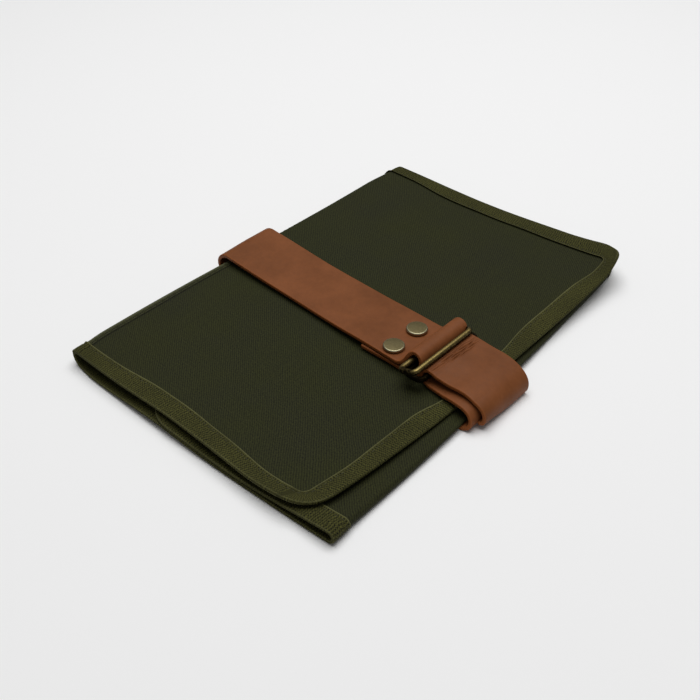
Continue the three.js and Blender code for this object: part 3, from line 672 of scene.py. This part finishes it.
tape_line = [np.append(part, part[0]) for part in bound_line(TAPE_STITCH_INSET)]
sewn_face = TAPE_OUTSIDE - SEWN_DIP
seam_y = spread(TAPE_SHOWS - HALF_LENGTH, HALF_LENGTH - TAPE_SHOWS, 1)
seam_run = along_fold(SEAM_NEAR, SEAM_FAR, seam_y)
seam_face = CANVAS_THICKNESS / 2 + SEAM_RISE
tape_rows = [stitch_row(*tape_line, face) for face in (sewn_face, -sewn_face)]
seam_rows = [stitch_row(seam_run + inset, seam_y, seam_face, SEAM_STITCH_PITCH)
             for inset in SEAM_STITCH_INSETS]
stitches = np.concatenate(tape_rows + seam_rows)
one_stitch = loft_faces(STITCH_SECTIONS, THREAD_SIDES, closed=False)
first_points = np.arange(len(stitches)) * STITCH_SECTIONS * THREAD_SIDES
stitch_faces = np.concatenate([one_stitch + first for first in first_points])
stitching = add_piece("stitching", stitches, stitch_faces, {}, waxed_thread())


# Strap
# One length of tan vegetable-tanned leather, 38.5 mm wide and 2.2 mm thick. One end is turned back on itself
# round the held bars of both rings and riveted. The rest goes round under the roll, up through the rings and
# back over the free bar of the lower ring, so that the tail lies over the right fold.
STRAP_HALF_WIDTH = 19.25
STRAP_HALF_THICKNESS = 1.1
STRAP_EDGE_ROUND = 0.6
RIVET_X = 35.15
RIVET_PLACES = (-24.65, -5.35)
LOWER_FREE_BAR = (62.15, 13.4)
HAIRPIN_RADIUS = 3.0

# Places across the roll, as X and Z of the strap's middle, where one run of it ends and the next begins
TURNED_END = (19.15, 10.4)
LOOP_FOOT = (52.55, 10.4)
LOOP_TOP = (52.55, 21.8)
TOP_START = (42.4, 12.9)
LEFT_BEND_TOP = (-91.55, 15.1)
LEFT_BEND_FOOT = (-91.55, STRAP_HALF_THICKNESS)
RIGHT_BEND_FOOT = (89.6, STRAP_HALF_THICKNESS)
RIGHT_BEND_TOP = (84.0, 11.6)
HAIRPIN_FOOT = (LOWER_FREE_BAR[0], LOWER_FREE_BAR[1] - HAIRPIN_RADIUS)
HAIRPIN_TOP = (LOWER_FREE_BAR[0], LOWER_FREE_BAR[1] + HAIRPIN_RADIUS)
TAIL_BEND_TOP = (80.45, 14.8)
TAIL_BEND_SIDE = (98.65, 4.6)
TAIL_END = (95.6, STRAP_HALF_THICKNESS)

# Heights of the top run, from the rivets to the left bend, at these shares of its length
TOP_SHARES = (0.0, 0.1, 0.19, 0.32, 0.6, 0.9, 1.0)
TOP_HEIGHTS = (TOP_START[1], 12.9, 12.75, 12.4, 12.7, 14.4, LEFT_BEND_TOP[1])


def bend(*points, spacing=0.4):
    """A curve through the plane across the roll, from its control points."""
    points = np.array(points, float)
    count = max(3, round(np.linalg.norm(np.diff(points, axis=0), axis=1).sum() / spacing))
    t = np.linspace(0, 1, count)[:, None]
    while len(points) > 1:
        points = [points[i] * (1 - t) + points[i + 1] * t for i in range(len(points) - 1)]
    return points[0]


def half_turn(start, stop, reach, fullness=1.0):
    """Half an ellipse, or a fuller shape with squarer shoulders, from a place to one above or below it."""
    angle = np.radians(np.linspace(-90, 90, 36))
    across, up = (np.sign(side) * np.abs(side) ** (1 / fullness) for side in (np.cos(angle), np.sin(angle)))
    middle, rise = (stop[1] + start[1]) / 2, (stop[1] - start[1]) / 2
    return np.stack([start[0] + reach * across, middle + rise * up], axis=-1)


def top_run():
    """From the rivets to the left bend: flat over the turned end, then down on to the canvas."""
    share = np.linspace(0, 1, 150)
    x = TOP_START[0] + (LEFT_BEND_TOP[0] - TOP_START[0]) * share
    return np.stack([x, through_knots(TOP_SHARES, TOP_HEIGHTS, share)], axis=-1)


# Each run has its line across the roll and the place of the strap's middle along Y at its start and its end
STRAP_RUNS = (
    (bend(TURNED_END, LOOP_FOOT, spacing=1), -12.7, -12.8),
    (half_turn(LOOP_FOOT, LOOP_TOP, 4.8, fullness=1.35), -12.8, -10.6),
    (bend(LOOP_TOP, (47.9, 21.8), (49.4, 12.9), TOP_START), -10.6, -13.3),
    (top_run(), -13.3, -4.6),
    (half_turn(LEFT_BEND_TOP, LEFT_BEND_FOOT, -7.5), -4.6, -4.6),
    (bend(LEFT_BEND_FOOT, RIGHT_BEND_FOOT, spacing=3), -4.6, -21.0),
    (bend(RIGHT_BEND_FOOT, (97.0, STRAP_HALF_THICKNESS), (96.5, 10.6), RIGHT_BEND_TOP), -21.0, -17.3),
    (bend(RIGHT_BEND_TOP, (77.0, 12.1), (69.0, 11.0), HAIRPIN_FOOT, spacing=1), -17.3, -13.6),
    (half_turn(HAIRPIN_FOOT, HAIRPIN_TOP, -HAIRPIN_RADIUS), -13.6, -12.1),
    (bend(HAIRPIN_TOP, (67.0, 16.4), (72.45, 14.9), TAIL_BEND_TOP, spacing=0.2), -12.1, -12.1),
    (bend(TAIL_BEND_TOP, (90.95, 14.6), (98.65, 10.6), TAIL_BEND_SIDE), -12.1, -14.1),
    (bend(TAIL_BEND_SIDE, (98.65, 2.4), (98.0, STRAP_HALF_THICKNESS), TAIL_END), -14.1, -14.5),
)
TOP_RUN = 3
TAIL_RUN = 9

# The strap's near edge sags, or is held up: run, share of its length, and how far. The sag starts and is full
# at these places across the strap.
SAGS = (
    (0, 0.0, 0.0), (0, 0.5, 0.3), (0, 0.9, 1.3),
    (1, 0.2, 1.0), (1, 0.5, 0.0),
    (3, 0.6, 0.0), (3, 1.0, 0.8),
    (4, 0.5, 0.5), (4, 1.0, 0.0),
    (6, 0.6, 0.0),
    (7, 0.0, 1.2), (7, 0.4, 2.2), (7, 0.9, 1.8),
    (8, 0.2, 0.0),
    (9, 0.06, 0.0), (9, 0.3, 1.0), (9, 0.7, 0.9),
    (10, 0.2, 0.0), (10, 0.5, 0.0), (10, 0.9, -1.6),
    (11, 0.4, -2.2), (11, 1.0, -2.2),
)
SAG_ACROSS = (3.0, -18.0)

# The cut edges, beyond this place across the strap, waver a little: size, length and shift of each wave
EDGE_START = 15.0
EDGE_WAVES = ((0.12, 31.0, 0.0), (0.08, 9.5, 2.0))

# The rivets press a shallow ring into the leather, of this depth, radius and width
RIVET_PRESS = 0.3
RIVET_PRESS_RADIUS = 5.6
RIVET_PRESS_WIDTH = 1.3

# Creases across the tail beside the free bar: distance from the top of the hairpin, lean, the places across
# the strap where it starts and stops, and depth
CREASES = (
    (0.8, 0.06, -14.0, 22.0, 0.5),
    (2.0, 0.06, -15.0, 21.0, 0.6),
    (3.1, 0.05, -14.0, 21.0, 0.6),
    (4.2, 0.04, -9.0, 20.0, 0.5),
    (5.3, 0.03, -6.0, 16.0, 0.35),
    (1.5, 0.03, -23.0, -7.0, 0.4),
    (2.7, 0.03, -23.0, -8.0, 0.4),
)

# A crease is this wide, fades over this length at both ends, has painted shade in its groove, and has a
# raised lip beside it
CREASE_WIDTH = 0.36
CREASE_FADE = 9.0
CREASE_SHADE = 0.5
CREASE_LIP = 0.55
CREASE_LIP_PLACE = 1.5


def strap_section():
    """The strap seen end on, as places across it, heights and how far each is on a cut edge."""
    flat = STRAP_HALF_WIDTH - STRAP_EDGE_ROUND
    across = np.linspace(-flat, flat, 51)
    turn = np.radians([75, 60, 45, 30, 15])
    lift = STRAP_HALF_THICKNESS - STRAP_EDGE_ROUND
    edge_across = flat + STRAP_EDGE_ROUND * np.cos(turn)
    edge_height = lift + STRAP_EDGE_ROUND * np.sin(turn)
    right_across = np.concatenate([edge_across, [STRAP_HALF_WIDTH] * 2, edge_across[::-1]])
    right_height = np.concatenate([edge_height, [0.4 * lift, -0.4 * lift], -edge_height[::-1]])
    top = np.full(len(across), STRAP_HALF_THICKNESS)
    places = np.concatenate([across, right_across, across[::-1], -right_across])
    heights = np.concatenate([top, right_height, -top, -right_height])
    # The cut edges are drawn a lighter tan, partly their own colour and partly a painted highlight
    cut_edge_and_highlight = smooth_step(flat - 0.1, flat + 0.5, np.abs(places))
    return places, heights, cut_edge_and_highlight


def strap_line():
    """Points along the whole strap from the turned end, their places along Y, and each one's run."""
    lines, middles, runs = [], [], []
    for number, (line, start_y, stop_y) in enumerate(STRAP_RUNS):
        first = 1 if number else 0
        middle = np.linspace(0, 1, len(line)) * (stop_y - start_y) + start_y
        lines.append(line[first:])
        middles.append(middle[first:])
        runs.append(np.full(len(line) - first, number))
    return [np.concatenate(part) for part in (lines, middles, runs)]


def vegetable_tanned_leather():
    """Tan vegetable-tanned cowhide with a smooth waxed grain: soft sheen, close pores, cloudy shade, painted
    shade in the creases, and burnished cut edges of a lighter tan that is partly a painted highlight."""
    # The pores are about 0.3 mm apart and are drawn 0.8 mm apart, so that the grain shows at this distance
    pore = 0.8
    cloud = 24
    mottling = 2.6
    pale, deep = linear("#7d4a29"), linear("#6d3f20")
    painted_crease_brown, cut_edge_and_highlight_tan = linear("#3c1d0b"), linear("#884e27")
    material, tree = new_material("vegetable_tanned_leather")
    hide = add_node(tree, "Attribute", {"attribute_name": "hide"}).outputs["Vector"]
    clouds = add_node(tree, "TexNoise", inputs={"Vector": hide, "Scale": 1 / cloud, "Detail": 5,
                                                "Roughness": 0.62})
    cloud_share = add_node(tree, "MapRange", inputs={"Value": clouds.outputs[0], "From Min": 0.33,
                                                     "From Max": 0.67})
    mottle = add_node(tree, "TexNoise", inputs={"Vector": hide, "Scale": 1 / mottling, "Detail": 4,
                                                "Roughness": 0.7})
    mottle_share = add_node(tree, "MapRange", inputs={"Value": mottle.outputs[0], "From Min": 0.3,
                                                      "From Max": 0.7, "To Min": 0.93, "To Max": 1.06})
    grain = add_node(tree, "TexVoronoi", {"feature": "SMOOTH_F1"}, {"Vector": hide, "Scale": 1 / pore,
                                                                    "Smoothness": 0.6})
    tan = add_node(tree, "Mix", COLOUR_MIX, {MIX_SHARE: cloud_share.outputs[0], MIX_A: deep, MIX_B: pale})
    tan = add_node(tree, "VectorMath", {"operation": "SCALE"},
                   {0: tan.outputs[MIX_RESULT], "Scale": mottle_share.outputs[0]})
    # Cut edges: their own lighter tan, with a painted highlight
    cut_edge_and_highlight = add_node(tree, "Attribute", {"attribute_name": "cut_edge_and_highlight"}).outputs["Fac"]
    tan = add_node(tree, "Mix", COLOUR_MIX, {MIX_SHARE: cut_edge_and_highlight, MIX_A: tan.outputs[0], MIX_B: cut_edge_and_highlight_tan})
    # Painted shade in the creases' grooves
    crease_painted_shade = add_node(tree, "Attribute", {"attribute_name": "crease_painted_shade"}).outputs["Fac"]
    tan = add_node(tree, "Mix", COLOUR_MIX, {MIX_SHARE: crease_painted_shade, MIX_A: tan.outputs[MIX_RESULT],
                                             MIX_B: painted_crease_brown})
    rough = add_node(tree, "MapRange", inputs={"Value": mottle.outputs[0], "From Min": 0.3, "From Max": 0.7,
                                               "To Min": 0.46, "To Max": 0.6})
    fine = add_node(tree, "Bump", inputs={"Height": grain.outputs["Distance"], "Strength": 0.22,
                                          "Distance": 0.1 * MM})
    soft = add_node(tree, "Bump", inputs={"Height": clouds.outputs[0], "Strength": 0.25, "Distance": 0.8 * MM,
                                          "Normal": fine.outputs[0]})
    surface = add_node(tree, "BsdfPrincipled", inputs={
        "Base Color": tan.outputs[MIX_RESULT], "Roughness": rough.outputs[0], "Normal": soft.outputs[0],
        "IOR": 1.5, "Specular IOR Level": 0.14})
    add_node(tree, "OutputMaterial", inputs={"Surface": surface.outputs[0]})
    return material


line, middle_y, run_number = strap_line()
along = distance_along(line)
tangent = np.gradient(line, axis=0)
tangent /= np.linalg.norm(tangent, axis=1, keepdims=True)
places, heights, cut_edge_and_highlight = strap_section()
along_grid = np.broadcast_to(along[:, None], (len(along), len(places)))
edge_side = np.sign(places) * (np.abs(places) > EDGE_START)
across_grid = places[None, :] + waver(EDGE_WAVES, along)[:, None] * edge_side[None, :]
y_grid = middle_y[:, None] + across_grid
height_grid = np.broadcast_to(heights[None, :], along_grid.shape).copy()
face_height = STRAP_HALF_THICKNESS - 0.2

# The top run's upper side faces away from the turned end, so the rivets press into it from there
on_top_run = (run_number == TOP_RUN)[:, None] & (heights < -face_height)[None, :]
for rivet_y in RIVET_PLACES:
    off_rivet = np.hypot(line[:, :1] - RIVET_X, y_grid - rivet_y)
    press = RIVET_PRESS * np.exp(-((off_rivet - RIVET_PRESS_RADIUS) / RIVET_PRESS_WIDTH) ** 2)
    height_grid += np.where(on_top_run, press, 0)

# The tail is creased where it turns back over the bar, and each crease wanders in its own way. Each groove
# also gets painted shade
crease_shade_grid = np.zeros_like(along_grid)
tail_start = along[run_number == TAIL_RUN][0]
on_tail = (run_number >= TAIL_RUN)[:, None] & (heights > face_height)[None, :]
for number, (distance, lean, start, stop, depth) in enumerate(CREASES):
    wander = waver(((0.28, 2.3 + 0.35 * number, 2.1 * number), (0.08, 1.1, 1.3 * number)), y_grid)
    off_crease = (along_grid - tail_start - distance - lean * across_grid - wander) / CREASE_WIDTH
    fade_in = smooth_step(start, start + CREASE_FADE, across_grid)
    reach = fade_in * smooth_step(stop, stop - CREASE_FADE, across_grid)
    groove = np.where(on_tail, np.exp(-off_crease ** 2) * reach, 0)
    lip = np.where(on_tail, np.exp(-(off_crease - CREASE_LIP_PLACE) ** 2) * reach, 0)
    height_grid += depth * (CREASE_LIP * lip - groove)
    crease_shade_grid = np.maximum(crease_shade_grid, CREASE_SHADE * depth * groove)

sag_places = [np.interp(share, [0, 1], along[run_number == run][[0, -1]]) for run, share, _ in SAGS]
sag = np.interp(along, sag_places, [amount for _, _, amount in SAGS])
sag_grid = sag[:, None] * smooth_step(*SAG_ACROSS, across_grid)
strap_points = np.stack([
    line[:, :1] - tangent[:, 1:] * height_grid,
    y_grid,
    line[:, 1:] + tangent[:, :1] * height_grid - sag_grid,
], axis=-1)

# The grain of the two faces is taken from places this far apart, so that they differ
FACES_APART = 20.0
hide_place = np.stack([along_grid, across_grid, FACES_APART * np.sign(height_grid)], axis=-1)
strap = add_piece("leather_strap", strap_points, loft_faces(*strap_points.shape[:2], closed=False),
                  {"hide": hide_place, "crease_painted_shade": crease_shade_grid, "cut_edge_and_highlight": np.broadcast_to(cut_edge_and_highlight, along_grid.shape)},
                  vegetable_tanned_leather())
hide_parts("strap")


# Rings
# Two rectangular rings of 3.2 mm brass wire, bent and brazed shut, with an antique finish: darkened all over,
# then rubbed back to bright brass where hands and leather reach. Both hang by one long bar in the strap's
# turned end.
WIRE_RADIUS = 1.6
WIRE_SIDES = 24
RING_LENGTH = 50.6
RING_BAR_SPACING = 9.4
RING_CORNER = 2.6
CORNER_STEPS = 10

# Each ring's piece and solid, its middle along Y, its held and free bars across the roll, and its wear. The
# wear also sets painted light: a painted highlight on top of the long bars, and painted shade over an unworn
# ring.
RINGS = (
    ("lower_ring", "ring_lower", -12.8, (52.75, 13.4), LOWER_FREE_BAR, 0.0),
    ("upper_ring", "ring_upper", -16.2, (51.35, 16.9), (60.41, 19.4), 1.0),
)


def antique_brass():
    """Brass wire darkened in an oxidising bath and relieved by tumbling: brown where it is not rubbed, bright
    and finely scratched on the crown of the wire. The rub mark adds a painted highlight on the crown and
    painted shade over an unworn ring."""
    patch = 2.5
    scratches_per_mm = (0.35, 2.6, 1)
    dark_brown, bright_brass = linear("#1a140a"), linear("#897849")
    material, tree = new_material("antique_brass_relieved")
    wire = add_node(tree, "Attribute", {"attribute_name": "wire"}).outputs["Vector"]
    rubbed_and_painted_light = add_node(tree, "Attribute", {"attribute_name": "rubbed_and_painted_light"}).outputs["Fac"]
    drawn = add_node(tree, "VectorMath", {"operation": "MULTIPLY"}, {0: wire, 1: scratches_per_mm})
    scratches = add_node(tree, "TexNoise", inputs={"Vector": drawn.outputs[0], "Scale": 1, "Detail": 4})
    patches = add_node(tree, "TexNoise", inputs={"Vector": wire, "Scale": 1 / patch, "Detail": 4,
                                                 "Roughness": 0.65})
    wear_and_painted_light = add_node(tree, "Math", {"operation": "MULTIPLY_ADD"},
                    {0: patches.outputs[0], 1: 2.0, 2: scratches.outputs[0]})
    # The rub mark brings wear, a painted highlight and painted shade
    wear_and_painted_light = add_node(tree, "Math", {"operation": "MULTIPLY_ADD"}, {0: rubbed_and_painted_light, 1: 0.8, 2: wear_and_painted_light.outputs[0]})
    share = add_node(tree, "MapRange", inputs={"Value": wear_and_painted_light.outputs[0], "From Min": 1.45, "From Max": 2.3})
    brass = add_node(tree, "Mix", COLOUR_MIX, {MIX_SHARE: share.outputs[0], MIX_A: dark_brown,
                                               MIX_B: bright_brass})
    rough = add_node(tree, "MapRange", inputs={"Value": share.outputs[0], "To Min": 0.58, "To Max": 0.42})
    bump = add_node(tree, "Bump", inputs={"Height": scratches.outputs[0], "Strength": 0.3,
                                          "Distance": 0.08 * MM})
    surface = add_node(tree, "BsdfPrincipled", inputs={
        "Base Color": brass.outputs[MIX_RESULT], "Metallic": 1.0, "Roughness": rough.outputs[0],
        "Normal": bump.outputs[0]})
    add_node(tree, "OutputMaterial", inputs={"Surface": surface.outputs[0]})
    return material


def ring_mesh(middle, held, free, wear_and_painted_light):
    """Round wire carried along a rectangle with rounded corners, from a held bar to a free bar. Its long bars
    are rubbed bright on top by as much as it is worn, partly a painted highlight, and an unworn ring is
    darkened with painted shade."""
    tilt = np.array([free[0] - held[0], 0, free[1] - held[1]])
    tilt /= np.linalg.norm(tilt)
    long_way = np.array([0, 1.0, 0])
    upward = np.cross(tilt, long_way)
    centre = np.array([(held[0] + free[0]) / 2, middle, (held[1] + free[1]) / 2])
    half_across = RING_BAR_SPACING / 2 - RING_CORNER
    half_along = RING_LENGTH / 2 - WIRE_RADIUS - RING_CORNER
    route, outward = [], []
    for side_across, side_along, start in ((1, 1, 0), (-1, 1, 90), (-1, -1, 180), (1, -1, 270)):
        for angle in np.radians(np.linspace(start, start + 90, CORNER_STEPS)):
            out = np.cos(angle) * tilt + np.sin(angle) * long_way
            corner = side_across * half_across * tilt + side_along * half_along * long_way
            route.append(centre + corner + RING_CORNER * out)
            outward.append(out)
    route, outward = np.array(route), np.array(outward)
    around = np.arange(WIRE_SIDES) * 2 * math.pi / WIRE_SIDES
    points = (route[:, None]
              + WIRE_RADIUS * np.cos(around)[None, :, None] * outward[:, None]
              + WIRE_RADIUS * np.sin(around)[None, :, None] * upward[None, None])
    distance = distance_along(route)
    wire = np.stack(np.broadcast_arrays(distance[:, None], around[None, :] * WIRE_RADIUS, 0.0), axis=-1)
    # Painted light: the top of the long bars is brightened as wear and painted highlight, and an unworn ring
    # is darkened with painted shade
    crown = np.clip(np.sin(around) + 0.3, 0, 1)
    rubbed_and_painted_light = wear_and_painted_light * np.abs(outward @ tilt)[:, None] ** 3 * crown[None, :] - 0.4 * (1 - wear_and_painted_light)
    return points, {"wire": wire, "rubbed_and_painted_light": rubbed_and_painted_light}


brass = antique_brass()
for name, node, middle, held, free, wear_and_painted_light in RINGS:
    points, marks = ring_mesh(middle, held, free, wear_and_painted_light)
    ring = add_piece(name, points, loft_faces(*points.shape[:2], closed=True), marks, brass)
    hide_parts(node)


# Rivets
# Two double-cap rivets through the strap and its turned end: a thin pressed cap with a nearly flat top and a
# bevelled rim above, a post, and a smaller flat cap below. They are plated in pale antique brass.
RIVETS = (
    ("near_rivet", "rivet_near", RIVET_PLACES[0]),
    ("far_rivet", "rivet_far", RIVET_PLACES[1]),
)
RIVET_SIDES = 64

# Radii of the cap, the back and the post, the cap's foot above the table and its shape, and the back's top
RIVET_CAP = 5.8
RIVET_BACK = 4.5
RIVET_POST = 2.0
RIVET_BASE = 13.9
RIVET_WALL = 1.1
RIVET_BEVEL_WIDTH = 0.8
RIVET_BEVEL_HEIGHT = 0.75
RIVET_CROWN = 0.12
RIVET_BACK_TOP = 9.2
RIVET_BACK_THICKNESS = 0.8


def antique_plated_cap():
    """Pressed brass plated in a pale antique finish: grey gold, brushed one way, cloudy, with a bright rim
    where the plating is rubbed, partly a painted highlight."""
    cloud = 2.2
    brush_lines_per_mm = (0.5, 4.5, 1)
    dull_gold, pale_gold, rubbed_and_highlight_rim = linear("#5f563a"), linear("#827756"), linear("#a39c7f")
    material, tree = new_material("antique_plated_brass")
    cap = add_node(tree, "Attribute", {"attribute_name": "cap"}).outputs["Vector"]
    rim = add_node(tree, "Attribute", {"attribute_name": "rim"}).outputs["Fac"]
    brushed = add_node(tree, "VectorMath", {"operation": "MULTIPLY"}, {0: cap, 1: brush_lines_per_mm})
    lines = add_node(tree, "TexNoise", inputs={"Vector": brushed.outputs[0], "Scale": 1, "Detail": 3})
    clouds = add_node(tree, "TexNoise", inputs={"Vector": cap, "Scale": 1 / cloud, "Detail": 4,
                                                "Roughness": 0.65})
    tone = add_node(tree, "Math", {"operation": "ADD"}, {0: lines.outputs[0], 1: clouds.outputs[0]})
    tone = add_node(tree, "MapRange", inputs={"Value": tone.outputs[0], "From Min": 0.65, "From Max": 1.35})
    metal = add_node(tree, "Mix", COLOUR_MIX, {MIX_SHARE: tone.outputs[0], MIX_A: dull_gold,
                                               MIX_B: pale_gold})
    metal = add_node(tree, "Mix", COLOUR_MIX, {MIX_SHARE: rim, MIX_A: metal.outputs[MIX_RESULT],
                                               MIX_B: rubbed_and_highlight_rim})
    rough = add_node(tree, "MapRange", inputs={"Value": tone.outputs[0], "To Min": 0.46, "To Max": 0.34})
    bump = add_node(tree, "Bump", inputs={"Height": lines.outputs[0], "Strength": 0.12,
                                          "Distance": 0.05 * MM})
    surface = add_node(tree, "BsdfPrincipled", inputs={
        "Base Color": metal.outputs[MIX_RESULT], "Metallic": 1.0, "Roughness": rough.outputs[0],
        "Normal": bump.outputs[0]})
    add_node(tree, "OutputMaterial", inputs={"Surface": surface.outputs[0]})
    return material


def rivet_profile():
    """Radii and heights from the middle of the back cap to the middle of the top."""
    back_foot = RIVET_BACK_TOP - RIVET_BACK_THICKNESS
    back = [(0.05, back_foot), (RIVET_BACK - 0.3, back_foot), (RIVET_BACK, back_foot + 0.3),
            (RIVET_BACK, RIVET_BACK_TOP), (RIVET_POST, RIVET_BACK_TOP)]
    shank = [(RIVET_POST, RIVET_BASE), (RIVET_CAP - 0.15, RIVET_BASE), (RIVET_CAP, RIVET_BASE + 0.15)]
    bevel = np.radians(np.linspace(0, 75, 8))
    rim_radius = RIVET_CAP - RIVET_BEVEL_WIDTH + RIVET_BEVEL_WIDTH * np.cos(bevel)
    rim_height = RIVET_BASE + RIVET_WALL + RIVET_BEVEL_HEIGHT * np.sin(bevel)
    rim = np.stack([rim_radius, rim_height], axis=-1)
    crown = [(rim_radius[-1] * share, rim_height[-1] + RIVET_CROWN * (1 - share ** 2))
             for share in (0.95, 0.8, 0.6, 0.35, 0.12)]
    return np.concatenate([back, shank, rim, crown])


plated = antique_plated_cap()
radius, height = rivet_profile().T
lap = np.arange(RIVET_SIDES) * 2 * math.pi / RIVET_SIDES
spin = np.stack([np.cos(lap), np.sin(lap), np.zeros_like(lap)], axis=-1)
turned = radius[:, None, None] * spin[None] + height[:, None, None] * np.array([0, 0, 1.0])
# The bright rim is rubbed plating and partly a painted highlight
rim_wear_and_highlight = smooth_step(RIVET_CAP - 0.85, RIVET_CAP - 0.4, radius) * (height > RIVET_BASE + 0.3)
marks = {"cap": turned, "rim": np.broadcast_to(rim_wear_and_highlight[:, None], turned.shape[:2])}
for name, node, rivet_y in RIVETS:
    points = turned + np.array([RIVET_X, rivet_y, 0])
    rivet = add_piece(name, points, loft_faces(*points.shape[:2], closed=False), marks, plated)
    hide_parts(node)


# Table, light and camera
# A plain pale table, a large soft light above and behind the roll, a weaker one in front, and a pale room all
# round. The camera stands where the photograph was taken from.
def pale_table():
    """Matt off-white card."""
    material, tree = new_material("matt_white_card")
    surface = add_node(tree, "BsdfPrincipled", inputs={"Base Color": linear("#f7f7f7"), "Roughness": 0.9})
    add_node(tree, "OutputMaterial", inputs={"Surface": surface.outputs[0]})
    return material


TABLE_HALF = 4000.0
TABLE_DROP = 0.1
table_mesh = bpy.data.meshes.new("table")
sides = [(-1, -1), (1, -1), (1, 1), (-1, 1)]
table_corners = [(x * TABLE_HALF * MM, y * TABLE_HALF * MM, -TABLE_DROP * MM) for x, y in sides]
table_mesh.from_pydata(table_corners, [], [(0, 1, 2, 3)])
table_mesh.materials.append(pale_table())
table = bpy.data.objects.new("table", table_mesh)
bpy.context.scene.collection.objects.link(table)

# Each light's place, width and power in watts
LIGHTS = (
    ("overhead_softbox", (-150.0, 300.0, 1700.0), 1700.0, 31.6),
    ("front_softbox", (900.0, -1100.0, 1700.0), 1500.0, 2.0),
)
for name, place, width, power in LIGHTS:
    light = bpy.data.lights.new(name, "AREA")
    light.size = width * MM
    light.energy = power
    lamp = bpy.data.objects.new(name, light)
    lamp.location = Vector(place) * MM
    lamp.rotation_mode = "QUATERNION"
    lamp.rotation_quaternion = Vector(place).to_track_quat("Z", "Y")
    bpy.context.scene.collection.objects.link(lamp)

room = bpy.data.worlds.new("pale_room")
room.use_nodes = True
room_light = room.node_tree.nodes["Background"]
room_light.inputs["Color"].default_value = linear("#f4f4f4")
room_light.inputs["Strength"].default_value = 0.13
bpy.context.scene.world = room
bpy.context.scene.view_settings.view_transform = "Standard"

CAMERA_AIM = Vector((16.5, -37.75, 10.0))
CAMERA_AZIMUTH = math.radians(41.35)
CAMERA_ELEVATION = math.radians(38.22)
CAMERA_DISTANCE = 521.7
SENSOR_WIDTH = 36.0
FOCAL_PIXELS = 1000.0
PICTURE_PIXELS = 700.0
away = Vector((math.sin(CAMERA_AZIMUTH) * math.cos(CAMERA_ELEVATION),
               -math.cos(CAMERA_AZIMUTH) * math.cos(CAMERA_ELEVATION), math.sin(CAMERA_ELEVATION)))
lens = bpy.data.cameras.new("camera")
lens.sensor_width = SENSOR_WIDTH
lens.lens = FOCAL_PIXELS / PICTURE_PIXELS * SENSOR_WIDTH
lens.clip_start = 0.01
lens.clip_end = 50
camera = bpy.data.objects.new("camera", lens)
camera.location = (CAMERA_AIM + away * CAMERA_DISTANCE) * MM
camera.rotation_mode = "QUATERNION"
camera.rotation_quaternion = (-away).to_track_quat("-Z", "Y")
bpy.context.scene.collection.objects.link(camera)
bpy.context.scene.camera = camera
